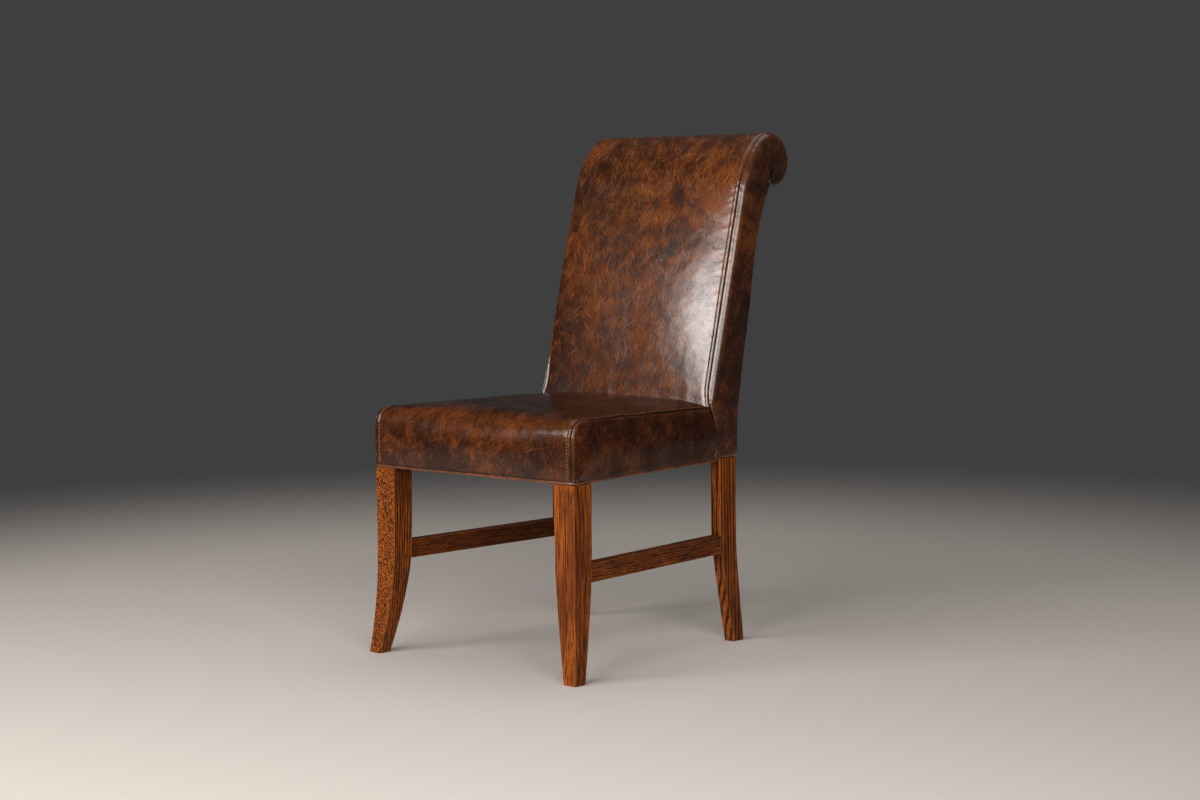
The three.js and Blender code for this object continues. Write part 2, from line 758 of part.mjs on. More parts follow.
// Where each block's two screws start, which way they drive and what they hold
function blockScrews(end, side) {
  const across = new THREE.Vector3(side, 0, 0);
  const reach = blockReach / 2;
  const height = (railBottom + railTop) / 2;
  const head = blockScrewLength - railThickness / 2;
  if (end === 'front') {
    return [
      { at: new THREE.Vector3(side * (legInner - reach), frontRailRear + head, height),
        way: new THREE.Vector3(0, -1, 0) },
      { at: new THREE.Vector3(side * (sideRailInner(legTopSize + reach) - head), legTopSize + reach,
        height), way: across },
    ];
  }
  return [
    { at: new THREE.Vector3(side * (postInner - reach), rearRailFront - head, height),
      way: new THREE.Vector3(0, 1, 0) },
    { at: new THREE.Vector3(side * (sideRailInner(postFront - reach) - head), postFront - reach,
      height), way: across },
  ];
}

function blockPlan(end) {
  if (end === 'front') {
    const rear = legTopSize + blockReach;
    return [
      [legInner - blockReach, frontRailRear + fitGap], [legInner - fitGap, frontRailRear + fitGap],
      [legInner - fitGap, legTopSize + fitGap],
      [sideRailInner(legTopSize) - 2 * fitGap, legTopSize + fitGap],
      [sideRailInner(rear) - 2 * fitGap, rear],
    ];
  }
  const front = postFront - blockReach;
  const corner = Math.min(postInner, sideRailInner(postFront)) - 2 * fitGap;
  return [
    [postInner - blockReach, rearRailFront - fitGap], [corner, rearRailFront - fitGap],
    [corner, postFront], [sideRailInner(front) - 2 * fitGap, front],
  ];
}

function buildSeatFrame() {
  const allScrews = [];
  for (const end of ['front', 'rear']) {
    for (const [word, side] of bothSides) {
      const plan = blockPlan(end).map(([x, y]) => new THREE.Vector2(side * x, y));
      const middle = (railBottom + railTop) / 2;
      let block = solid(boardAlongZ(plan, middle - blockHeight / 2, middle + blockHeight / 2));
      blockScrews(end, side).forEach(({ at, way }, i) => {
        const hole = { at, way, end, word, number: i + 1 };
        allScrews.push(hole);
        block = block.subtract(solid(driven(screw(blockScrewLength, fitGap), at, way)))
          .subtract(solid(driven(headBore(), at, way)));
      });
      addPiece(`corner_block_${end}_${word}`, block, frameWood);
    }
  }
  for (const { at, way, end, word, number } of allScrews) {
    const body = driven(screw(blockScrewLength, 0), at, way);
    addPiece(`block_screw_${end}_${word}_${number}`, body, steel);
  }
  const drilled = (rail) => allScrews.reduce(
    (body, { at, way }) => body.subtract(solid(driven(screw(blockScrewLength, fitGap), at, way))),
    rail.subtract(weltRoom),
  );
  const frontRail = solid(box(
    fitGap - legInner, legInner - fitGap, legBlockFront, frontRailRear, railBottom, railTop,
  )).add(solid(frontRailTenon(1, 0))).add(solid(frontRailTenon(-1, 0)));
  addPiece('seat_rail_front', drilled(frontRail), frameWood);
  const rearRail = solid(box(
    fitGap - postInner, postInner - fitGap, rearRailFront, rearRailRear, railBottom, railTop,
  )).add(solid(rearRailTenon(1, 0))).add(solid(rearRailTenon(-1, 0)));
  addPiece('seat_rail_rear', drilled(rearRail), frameWood);
  for (const [word, side] of bothSides) {
    const ends = [legTopSize + fitGap, postFront - fitGap];
    const plan = [
      [sideRailInner(ends[0]), ends[0]], [sideRailInner(ends[0]) + railThickness, ends[0]],
      [sideRailInner(ends[1]) + railThickness, ends[1]], [sideRailInner(ends[1]), ends[1]],
    ].map(([x, y]) => new THREE.Vector2(side * x, y));
    const rail = solid(boardAlongZ(plan, railBottom, railTop))
      .add(solid(sideRailFrontTenon(side, 0)))
      .add(solid(sideRailRearTenon(side, 0)));
    addPiece(`seat_rail_${word}`, drilled(rail), frameWood);
  }
}

// The room behind a screw's head, cut out to the block's open face
function headBore() {
  const depth = blockReach;
  const bore = new THREE.CylinderGeometry(
    screwHeadRadius + fitGap, screwHeadRadius + fitGap, depth, roundSides,
  );
  return bore.rotateX(Math.PI / 2).translate(0, 0, depth / 2);
}

// Seat deck: webbing both ways, a deck cloth over it and a dust cover under the rails
function deckPlan(inset, frontCorner) {
  const sideX = (y) => seatHalf(y) - wrap - inset;
  const halfPlan = [
    ...frontCorner(sideX, legBlockFront + inset),
    [sideX(postFront), postFront - fitGap], [postInner - fitGap, postFront - fitGap],
    [postInner - fitGap, rearRailRear - inset],
  ];
  const left = halfPlan.map(([x, y]) => new THREE.Vector2(x, y));
  const right = halfPlan.map(([x, y]) => new THREE.Vector2(-x, y)).reverse();
  return [...left, ...right];
}

function buildDeck() {
  [-1, 0, 1].forEach((place, i) => {
    const middle = place * seatStrapSpacing;
    addPiece(`seat_strap_long_${i + 1}`, box(
      middle - strapWidth / 2, middle + strapWidth / 2,
      legBlockFront + hemInset, rearRailRear - hemInset, strapLevel, strapLevel + strapThickness,
    ), webbing);
    const centre = (legTopSize + postFront) / 2 + place * seatStrapSpacing;
    const half = seatHalf(centre + strapWidth / 2) - wrap - hemInset;
    addPiece(`seat_strap_cross_${i + 1}`, box(
      -half, half, centre - strapWidth / 2, centre + strapWidth / 2,
      crossStrapLevel, crossStrapLevel + strapThickness,
    ), webbing);
  });
  const deck = deckPlan(hemInset, (sideX, front) => [[sideX(front), front]]);
  addPiece('deck_cloth', boardAlongZ(deck, clothLevel, clothLevel + clothThickness), webbing);
  const dustTop = railBottom - fitGap;
  const dust = deckPlan(hemInset / 2, (sideX, front) => [
    [legInner - fitGap, front], [legInner - fitGap, legTopSize + fitGap],
    [sideX(legTopSize), legTopSize + fitGap],
  ]);
  addPiece('dust_cover', boardAlongZ(dust, dustTop - dustCoverThickness, dustTop), cloth);
}

// Seat cushion and its leather: a waterfall panel over top and front, and two side panels.
// A foam's rings run the other way round from its cover's, so that their faces match.
function buildSeatCushion() {
  const coverRing = (across) => [
    ...seatPath(across, 0), ...seatPath(across, coverThickness).reverse(),
  ];
  addPiece('seat_cover_top_front', acrossLoft(coverRing, seatHalf), leather);
  const inset = coverThickness + paddingGap;
  const skirtRear = stepStart - weltRadius;
  const foamAcross = 1 - inset / seatHalf(seatRearY);
  const foamRing = (across) => [
    ...seatPath(across * foamAcross, inset),
    new THREE.Vector2(backLine(foamLevel) - inset, foamLevel),
    new THREE.Vector2(skirtRear, foamLevel), new THREE.Vector2(skirtRear, weltTop),
  ].reverse();
  const coreHalf = (y) => seatHalf(y) - wrap + fitGap;
  const core = [
    [coreHalf(legBlockFront - fitGap), legBlockFront - fitGap], [coreHalf(postRear), postRear],
    [-coreHalf(postRear), postRear], [-coreHalf(legBlockFront - fitGap), legBlockFront - fitGap],
  ].map(([x, y]) => new THREE.Vector2(x, y));
  const cushion = solid(acrossLoft(foamRing, (y) => seatHalf(y) - inset))
    .subtract(solid(boardAlongZ(core, seatBottom, foamLevel)));
  addPiece('seat_foam', cushion, foam);
  for (const [word, side] of bothSides) {
    addPiece(`seat_cover_side_${word}`, sideDome(side), leather);
  }
}

// A side panel that swells between its seams
function sideDome(side) {
  const outline = [
    ...seatPath(1, coverThickness + fitGap), ...grooveCurve.getPoints(arcSteps).slice(1),
  ];
  const centre = outline.reduce((sum, point) => sum.add(point), new THREE.Vector2());
  centre.divideScalar(outline.length);
  const layers = [
    [1, -coverThickness], [1, -coverThickness / 4],
    ...domeShares.map(([scale, share]) => [scale, share * sideBulge]),
  ];
  const rings = layers.map(([scale, out]) => outline.map((point) => {
    const place = centre.clone().lerp(point, scale);
    return new THREE.Vector3(side * (seatHalf(place.x) + out), place.x, place.y);
  }));
  return loft(rings, sideView);
}

// Back frame: two rails, scroll cheeks lapped to the posts, battens and a bent skin
function cheekTail(grow) {
  const front = (z) => new THREE.Vector2(postFrontAt(z) - grow, z);
  return [
    front(lapStart + fitGap), front(postTop),
    onCircle(scrollCentre, scrollCore + grow, radians(skinAngles[0])), scrollCentre.clone(),
    onCircle(scrollCentre, scrollCore + grow, radians(scrollEndAngle)),
    ...stretch(rearPath(wrap - grow), lapStart + lapLength * lapTuckShares[0], lapStart + fitGap),
  ];
}

function disc(radius, xA, xB) {
  const outline = steps(2 * scrollSteps).slice(1)
    .map((share) => onCircle(scrollCentre, radius, share * 2 * Math.PI));
  return boardAlongX(outline, xA, xB);
}

function battenOutline(angle, grow) {
  const spoke = new THREE.Vector2(Math.cos(angle), Math.sin(angle));
  const across = new THREE.Vector2(-spoke.y, spoke.x);
  const rim = Math.sqrt(scrollCore ** 2 - (battenWidth / 2) ** 2) - fitGap;
  const half = battenWidth / 2 + grow;
  return [[rim - battenDepth - grow, -half], [rim + cutOverrun * Math.sign(grow), -half],
    [rim + cutOverrun * Math.sign(grow), half], [rim - battenDepth - grow, half]]
    .map(([out, along]) =>
      scrollCentre.clone().addScaledVector(spoke, out).addScaledVector(across, along));
}

function buildBackFrame() {
  const railCentres = { back_rail_lower: lowerRailCentre, back_rail_upper: upperRailCentre };
  for (const [name, centre] of Object.entries(railCentres)) {
    const bar = rakedBar(centre, backRailThickness, backRailHeight);
    const rail = solid(boardAlongX(bar, fitGap - postInner, postInner - fitGap))
      .add(solid(backRailTenonBox(1, centre, 0)))
      .add(solid(backRailTenonBox(-1, centre, 0)));
    addPiece(name, rail, frameWood);
  }
  for (const [word, side] of bothSides) {
    let cheek = solid(disc(scrollCore, side * postInner, side * postCoreOuter))
      .add(solid(boardAlongX(cheekTail(0), side * (lapMiddle + fitGap / 2), side * postCoreOuter)));
    for (const angle of battenAngles) {
      const notch = boardAlongX(
        battenOutline(radians(angle), fitGap),
        side * (postInner - cutOverrun), side * (postCoreOuter + cutOverrun),
      );
      cheek = cheek.subtract(solid(notch));
    }
    lapScrewHeights.forEach((z, i) => {
      cheek = cheek.subtract(solid(lapScrew(side, z, fitGap)))
        .subtract(solid(lapHeadBore(side, z)));
      addPiece(`lap_screw_${word}_${i + 1}`, lapScrew(side, z, 0), steel);
    });
    addPiece(`scroll_cheek_${word}`, cheek, frameWood);
  }
  battenAngles.forEach((angle, i) => {
    const outline = battenOutline(radians(angle), 0);
    addPiece(`scroll_batten_${i + 1}`, boardAlongX(outline, -postCoreOuter, postCoreOuter), frameWood);
  });
  const skinInner = scrollCore + fitGap;
  const skinArc = (radius) => steps(2 * scrollSteps).map((share) =>
    onCircle(scrollCentre, radius, radians(mix(...skinAngles, share))));
  const skinOutline = [...skinArc(skinInner), ...skinArc(skinInner + skinThickness).reverse()];
  addPiece('scroll_skin', boardAlongX(skinOutline, -postCoreOuter, postCoreOuter), webbing);
  const lowestStrap = seatEdgeRear + backStrapStart + strapWidth / 2;
  const highestStrap = upperRailCentre.y - backStrapDrop;
  const strapSpaces = Math.max(1, Math.round((highestStrap - lowestStrap) / backStrapSpacing));
  steps(strapSpaces).forEach((share, i) => {
    const z = mix(lowestStrap, highestStrap, share);
    const centre = new THREE.Vector2(postFrontAt(z), z)
      .addScaledVector(rakeIn, -(fitGap + strapThickness / 2));
    const outline = rakedBar(centre, strapThickness, strapWidth);
    const half = postCoreOuter - hemInset / 2;
    addPiece(`back_strap_${i + 1}`, boardAlongX(outline, -half, half), webbing);
  });
}

function lapHeadBore(side, z) {
  const place = postMiddle(z);
  const bore = new THREE.CylinderGeometry(
    screwHeadRadius + fitGap, screwHeadRadius + fitGap, cutOverrun, roundSides,
  );
  return bore.rotateZ(Math.PI / 2)
    .translate(side * (postCoreOuter - screwHeadHeight + cutOverrun / 2), place.x, place.y);
}

// Back cushion: foam over the front and the scroll, with thin sides over the posts
function buildBackCushion() {
  const inset = coverThickness + paddingGap;
  const foamStart = foamLevel + coverThickness + seamGap - backEdgeRoll * rakeIn.y;
  const rear = rearPath(inset);
  const foamRing = (x, crown, fall) => [
    ...frontPath(foamStart, inset + fall, crown), ...rear,
    new THREE.Vector2(postFront + fitGap, rear.at(-1).y),
    new THREE.Vector2(postFront + fitGap, foamStart),
  ].reverse().map((point) => new THREE.Vector3(x, point.x, point.y));
  const flatHalf = backHalf - backEdgeRoll;
  const middle = acrossPlaces.map((across) =>
    foamRing(across * flatHalf, backCrown * edgeFade(across), 0));
  const rolled = (side) => rollTurns.slice(1).map((turn) => foamRing(
    side * (flatHalf + (backEdgeRoll - inset) * Math.sin(turn)),
    0, (backEdgeRoll - inset) * (1 - Math.cos(turn)),
  ));
  const outer = solid(loft([...rolled(-1).reverse(), ...middle, ...rolled(1)], sideView));
  const strapRoom = (strapThickness + fitGap * 2) / rakeUp.y;
  const roomFront = (z) => new THREE.Vector2(postFrontAt(z) - strapRoom, z);
  const behind = rearPath(-cutOverrun).filter((point) => point.y < postTop);
  const postRoom = [
    new THREE.Vector2(postFront - cutOverrun, seatBottom),
    new THREE.Vector2(postFront - cutOverrun, foamStart + fitGap),
    roomFront(foamStart + fitGap), roomFront(postBend), roomFront(postTop),
    ...behind, new THREE.Vector2(rearFace + cutOverrun, seatBottom),
  ];
  const half = postCoreOuter + fitGap;
  const core = solid(boardAlongX(postRoom, -half, half))
    .add(solid(boardAlongX(cheekTail(fitGap), -half, half)))
    .add(solid(disc(scrollCore + skinThickness + 2 * fitGap, -half, half)));
  addPiece('back_foam', outer.subtract(core), foam);
  const padHeights = [lapStart + lapLength * lapTuckShares[1], rear.at(-1).y];
  const pad = [
    ...stretch(rear, ...padHeights), ...stretch(rearPath(wrap - fitGap), ...padHeights).reverse(),
  ];
  addPiece('outside_back_padding', boardAlongX(pad, -postCoreOuter, postCoreOuter), foam);
}

// Back leather: inside panel over the scroll, outside panel, and two sides that roll
// round the front edge to their seams with the inside panel
function buildBackCover() {
  const start = foamLevel + seamGap;
  const flatHalf = backHalf - backEdgeRoll;
  const insideHalf = flatHalf - seamGap;
  const insideRing = (across) => {
    const crown = backCrown * edgeFade(across * insideHalf / flatHalf);
    return [
      ...frontPath(start, 0, crown), ...frontPath(start, coverThickness, crown).reverse(),
    ];
  };
  addPiece('back_cover_inside', acrossLoft(insideRing, () => insideHalf), leather);
  const outsideRing = (across) => {
    const bulge = outsideBackBulge * edgeFade(across);
    return [...rearPath(fitGap, bulge), ...rearPath(coverThickness, bulge).reverse()];
  };
  addPiece('back_cover_outside', acrossLoft(outsideRing, () => backHalf), leather);
  const rear = rearPath(coverThickness + fitGap);
  const front = frontPath(seatEdgeRear + seamGap, backEdgeRoll);
  const groove = grooveCurve.getPoints(2 * arcSteps)
    .map((point) => point.add(new THREE.Vector2(seamGap, 0)))
    .filter((point) => point.x > front[0].x);
  const outline = [
    ...stretch(groove, groove[0].y, rear.at(-1).y).reverse(), ...front, ...rear,
  ];
  for (const [word, side] of bothSides) {
    const plate = boardAlongX(
      outline, side * (backHalf - coverThickness), side * backHalf, coverThickness / 4,
    );
    addPiece(`back_cover_side_${word}`, solid(plate).add(solid(edgeRoll(side))), leather);
  }
}

// The rolled edge of a side panel, up the front and over the scroll
function edgeRoll(side) {
  const section = (radius) => [
    ...rollTurns.map((turn) => [
      backHalf - backEdgeRoll + radius * Math.sin(turn), backEdgeRoll - radius * Math.cos(turn),
    ]),
    [backHalf - backEdgeRoll + radius, backEdgeRoll + coverThickness],
  ];
  const corners = [...section(backEdgeRoll), ...section(backEdgeRoll - coverThickness).reverse()];
  const paths = corners.map(([, inset]) => frontPath(seatEdgeRear + seamGap, inset));
  const rings = paths[0].map((_, i) => corners.map(([x], j) =>
    new THREE.Vector3(side * x, paths[j][i].x, paths[j][i].y)));
  return loft(rings, planView);
}

for (const [word, side] of bothSides) {
  buildFrontLeg(`front_leg_${word}`, side);
  buildRearPost(`rear_post_${word}`, side);
  buildStretcher(`stretcher_${word}`, side);
}
buildSeatFrame();
buildDeck();
buildSeatCushion();
buildBackFrame();
buildBackCushion();
buildBackCover();
addPiece('bottom_welt', welt, weltLeather);

// The origin is at the middle of the chair's footprint box, on the floor
const bounds = new THREE.Box3().setFromObject(chair);
chair.position.y = -(bounds.min.y + bounds.max.y) / 2;
chair.updateMatrixWorld(true);

export default chair;
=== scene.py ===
"""A scroll-back dining chair in worn brown leather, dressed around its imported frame.

Shapes are worked out in millimetres from the front legs' front faces and put into the
frame in metres. The chair faces -Y, its own left is +X and +Z is up.
"""

import json
import math

import bpy
import numpy as np
from mathutils import Matrix, Vector


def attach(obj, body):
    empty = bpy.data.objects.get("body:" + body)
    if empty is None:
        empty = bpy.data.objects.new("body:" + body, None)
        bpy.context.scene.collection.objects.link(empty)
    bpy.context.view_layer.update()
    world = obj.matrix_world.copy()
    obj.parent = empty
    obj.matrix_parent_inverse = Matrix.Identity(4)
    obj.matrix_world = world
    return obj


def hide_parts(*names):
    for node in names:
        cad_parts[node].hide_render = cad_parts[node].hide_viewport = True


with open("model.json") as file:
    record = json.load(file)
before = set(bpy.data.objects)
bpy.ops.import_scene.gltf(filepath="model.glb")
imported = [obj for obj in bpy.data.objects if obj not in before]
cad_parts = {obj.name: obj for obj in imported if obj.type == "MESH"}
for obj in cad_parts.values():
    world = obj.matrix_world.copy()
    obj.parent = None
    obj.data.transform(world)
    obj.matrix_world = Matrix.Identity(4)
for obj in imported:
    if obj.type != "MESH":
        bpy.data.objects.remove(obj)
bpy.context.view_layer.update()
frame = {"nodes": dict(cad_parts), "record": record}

MM = 0.001
FRONT_FACE = -339.83

# Outer form, the same as the solids'
CHAIR_HEIGHT = 1000.0
SEAT_BOTTOM = 360.0
SEAT_FRONT_TOP = 476.0
SEAT_REAR_TOP = 466.0
SEAT_FRONT = -2.0
SEAT_DEPTH = 434.0
SEAT_REAR = SEAT_FRONT + SEAT_DEPTH
SEAT_FRONT_HALF = 259.0
SEAT_REAR_HALF = 229.0
BACK_HALF = 226.0
RAKE = math.radians(14.5)
SCROLL_RADIUS = 55.0
SCROLL_SETBACK = 80.0
NECK_RADIUS = 190.0
SCROLL_END = math.radians(-106.0)
SEAT_CROWN = 18.0
FRONT_BULGE = 5.0
SIDE_BULGE = 3.0
SEAT_CORNER = 30.0
BACK_FULLNESS = 13.0
FAR_SEAM_TURN = 87.0
BACK_ROLL = 14.0
SEAT_ROLL = 7.0
GROOVE_ROLL = 4.0
REAR_ROLL = 3.0
OUTSIDE_BULGE = 3.0
WELT_RADIUS = 4.0
WELT_CORNER = 9.0
FIT_GAP = 0.3
WELT_TOP = SEAT_BOTTOM + 2 * WELT_RADIUS + 2 * FIT_GAP
POST_FRONT = 465.0
POST_SHOULDER = 366.0
REAR_FACE = 517.0
HIGH_WELT_TOP = POST_SHOULDER + 2 * WELT_RADIUS + 2 * FIT_GAP

# Seams
SEAM_DEPTH = 4.5
SHOULDER = 3.0
STITCH_INSET = 8.5
STITCH_PITCH = 6.3
STITCH_LENGTH = 4.6
THREAD_RADIUS = 0.75
HOLE_RADIUS = 1.10
LEATHER_THICKNESS = 1.4
GATHER_REACH = 14.0
FAR_SHADE = 0.8
SETTLING_FRAMES = 20


def unit(angle):
    return np.array([math.cos(angle), math.sin(angle)])


def smooth(share):
    share = np.clip(share, 0.0, 1.0)
    return share * share * (3 - 2 * share)


def mix(a, b, share):
    return a + (b - a) * share


def seat_half(y):
    return mix(SEAT_FRONT_HALF, SEAT_REAR_HALF, (y - SEAT_FRONT) / SEAT_DEPTH)


def edge_fade(across):
    return 1 - np.abs(across) ** 4


def ripple(along, wavelength, seed, count=7):
    """Uneven waves along a line, about -1 to 1."""
    random = np.random.default_rng(seed)
    total = np.zeros_like(along, dtype=float)
    for _ in range(count):
        length = wavelength * random.uniform(0.6, 1.7)
        phase = random.uniform(0, 2 * math.pi)
        total += np.sin(2 * math.pi * along / length + phase)
    return total / math.sqrt(count)


def swell(across, along, wavelength, seed, count=12):
    """Uneven waves over a surface, about -1 to 1."""
    random = np.random.default_rng(seed)
    total = np.zeros_like(across, dtype=float)
    for _ in range(count):
        way = unit(random.uniform(0, 2 * math.pi))
        length = wavelength * random.uniform(0.7, 1.5)
        phase = random.uniform(0, 2 * math.pi)
        total += np.sin(2 * math.pi * (across * way[0] + along * way[1]) / length + phase)
    return total / math.sqrt(count)


# Side outlines, as rows of (y, z)
RAKE_UP = np.array([math.sin(RAKE), math.cos(RAKE)])
RAKE_IN = np.array([RAKE_UP[1], -RAKE_UP[0]])
LINE_START = np.array([SEAT_REAR, SEAT_REAR_TOP])
SCROLL_HEIGHT = CHAIR_HEIGHT - SCROLL_RADIUS
CLIMB = (SCROLL_HEIGHT - SEAT_REAR_TOP - SCROLL_SETBACK * RAKE_IN[1]) / RAKE_UP[1]
SCROLL_FOOT = LINE_START + RAKE_UP * CLIMB
SCROLL_CENTRE = SCROLL_FOOT + RAKE_IN * SCROLL_SETBACK
NECK_RUN = math.sqrt((NECK_RADIUS - SCROLL_RADIUS) ** 2 - (NECK_RADIUS - SCROLL_SETBACK) ** 2)
NECK_FOOT = SCROLL_FOOT - RAKE_UP * NECK_RUN
NECK_CENTRE = NECK_FOOT + RAKE_IN * NECK_RADIUS
NECK_START_ANGLE = math.atan2(-RAKE_IN[1], -RAKE_IN[0])
NECK_END_ANGLE = math.atan2(*(SCROLL_CENTRE - NECK_CENTRE)[::-1])
CREASE = SCROLL_CENTRE + SCROLL_RADIUS * unit(SCROLL_END)


def back_line(z):
    return SEAT_REAR + math.tan(RAKE) * (z - SEAT_REAR_TOP)


def arc(centre, radius, start, end, count):
    angles = np.linspace(start, end, count)
    return centre + radius * np.stack([np.cos(angles), np.sin(angles)], axis=1)


def resample(points, spacing):
    """The same line at even steps along it."""
    steps = np.linalg.norm(np.diff(points, axis=0), axis=1)
    along = np.concatenate([[0], np.cumsum(steps)])
    places = np.linspace(0, along[-1], max(2, int(round(along[-1] / spacing)) + 1))
    return np.stack([np.interp(places, along, points[:, i]) for i in range(points.shape[1])], axis=1)


def lengths_along(points):
    return np.concatenate([[0], np.cumsum(np.linalg.norm(np.diff(points, axis=0), axis=1))])


def outward_of(points, inside_on_right=True):
    """Unit normals of a side outline, away from the padding."""
    ahead = np.gradient(points, axis=0)
    ahead /= np.linalg.norm(ahead, axis=1, keepdims=True)
    outward = np.stack([-ahead[:, 1], ahead[:, 0]], axis=1)
    return outward if inside_on_right else -outward


def softened(points, reach):
    """Rounds the corners of an evenly stepped line, its ends held."""
    padded = np.concatenate([
        2 * points[0] - points[reach:0:-1], points, 2 * points[-1] - points[-2:-reach - 2:-1],
    ])
    weights = np.hanning(2 * reach + 3)[1:-1]
    weights /= weights.sum()
    return np.stack([np.convolve(padded[:, i], weights, "valid") for i in range(2)], axis=1)


def back_front(start_height, beyond=0.0):
    """Up the front of the back, over the scroll and under it."""
    start = LINE_START + RAKE_UP * ((start_height - SEAT_REAR_TOP) / RAKE_UP[1])
    neck = arc(NECK_CENTRE, NECK_RADIUS, NECK_START_ANGLE, NECK_END_ANGLE, 60)
    scroll = arc(SCROLL_CENTRE, SCROLL_RADIUS, NECK_END_ANGLE, SCROLL_END - beyond, 200)
    return np.concatenate([[start], neck, scroll[1:]])


def rear_curve():
    """Down the outside back, from under the scroll to the bottom edge."""
    neck_level = CHAIR_HEIGHT - 200
    seat_level = (SEAT_FRONT_TOP + SEAT_REAR_TOP) / 2
    middle = (neck_level + seat_level) / 2
    neck_depth = 67.97
    seat_depth = REAR_FACE + 4.3 - back_line(seat_level)
    knots = np.array([
        CREASE,
        [back_line(neck_level) + neck_depth, neck_level],
        [back_line(middle) + (neck_depth + seat_depth) / 2, middle],
        [back_line(seat_level) + seat_depth, seat_level],
        [REAR_FACE, HIGH_WELT_TOP],
    ])
    held = np.concatenate([knots[:1], knots, knots[-1:]])
    points = []
    for i in range(len(knots) - 1):
        a, b, c, d = held[i:i + 4]
        for t in np.linspace(0, 1, 40, endpoint=False):
            points.append(0.5 * (
                2 * b + (c - a) * t + (2 * a - 5 * b + 4 * c - d) * t ** 2
                + (3 * b - a - 3 * c + d) * t ** 3
            ))
    points.append(knots[-1])
    return np.array(points)


def groove_curve():
    """Where the seat's side panel meets the back's, from its top down to the welt."""
    t = np.linspace(0, 1, 60)[:, None]
    top = LINE_START
    bend = np.array([POST_FRONT + 1.0, mix(WELT_TOP, SEAT_REAR_TOP, 0.55)])
    foot = np.array([SEAT_REAR + 3 * WELT_RADIUS, WELT_TOP])
    return (1 - t) ** 2 * top + 2 * t * (1 - t) * bend + t ** 2 * foot


# Meshes
def in_frame(places):
    """Millimetres to the frame's metres."""
    return (places + np.array([0.0, FRONT_FACE, 0.0])) * MM


def make_piece(name, places, faces, material, flat=None, marks=None):
    mesh = bpy.data.meshes.new(name)
    mesh.from_pydata(in_frame(places).tolist(), [], faces.tolist())
    if flat is not None:
        corner = np.zeros(len(mesh.loops), dtype=np.int32)
        mesh.loops.foreach_get("vertex_index", corner)
        layer = mesh.uv_layers.new(name="flat")
        layer.data.foreach_set("uv", (flat[corner] * MM).astype(np.float32).ravel())
    for mark, values in (marks or {}).items():
        attribute = mesh.attributes.new(mark, "FLOAT", "POINT")
        attribute.data.foreach_set("value", values.astype(np.float32).ravel())
    mesh.polygons.foreach_set("use_smooth", np.ones(len(mesh.polygons), dtype=bool))
    mesh.materials.append(material)
    mesh.update()
    piece = bpy.data.objects.new(name, mesh)
    bpy.context.scene.collection.objects.link(piece)
    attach(piece, "root")
    return piece


def grid_faces(rows, columns, around=False):
    i, j = np.meshgrid(np.arange(rows - 1), np.arange(columns if around else columns - 1), indexing="ij")
    here = i * columns + j
    beside = i * columns + (j + 1) % columns
    return np.stack([here, beside, beside + columns, here + columns], axis=-1).reshape(-1, 4)


def surface_normals(places):
    down = np.gradient(places, axis=0)
    across = np.gradient(places, axis=1)
    normal = np.cross(across, down)
    size = np.linalg.norm(normal, axis=2, keepdims=True)
    return normal / np.maximum(size, 1e-9)


def face_the_right_way(faces, places, outward):
    """Faces turned so that their normals agree with the outward directions."""
    flat = places.reshape(-1, 3)
    way = outward.reshape(-1, 3)
    a, b, c, d = (flat[faces[:, i]] for i in range(4))
    turned = np.cross(c - a, d - b)
    if (turned * way[faces[:, 0]]).sum() < 0:
        return faces[:, ::-1]
    return faces


def seam_dip(distance, depth=SEAM_DEPTH, reach=SHOULDER):
    """How far a panel's edge turns down into its seam."""
    share = np.clip(1 - distance / reach, 0, 1)
    return -depth * (1 - np.sqrt(np.maximum(0, 1 - share ** 2)))


def stitch_dip(distance):
    """The channel that a row of stitches pulls, and the puffed strip beside the seam."""
    channel = -0.9 * np.exp(-((distance - STITCH_INSET) / 1.7) ** 2)
    strip = 0.8 * np.exp(-((distance - STITCH_INSET * 0.55) / 2.2) ** 2)
    return channel + strip


def edge_columns(width, spacing, fine=(0.0, 0.5, 1.0, 1.6, 2.3, 3.0, 4.2, 5.6, 7.0, 7.8, 8.5, 9.2, 10.2)):
    """Places across a panel, close together by its two seams."""
    fine = np.array(fine)
    inner = width / 2 - fine[-1]
    count = max(2, int(round(2 * inner / spacing)))
    middle = np.linspace(-inner, inner, count + 1)[1:-1]
    return np.concatenate([-width / 2 + fine, middle, (width / 2 - fine)[::-1]])


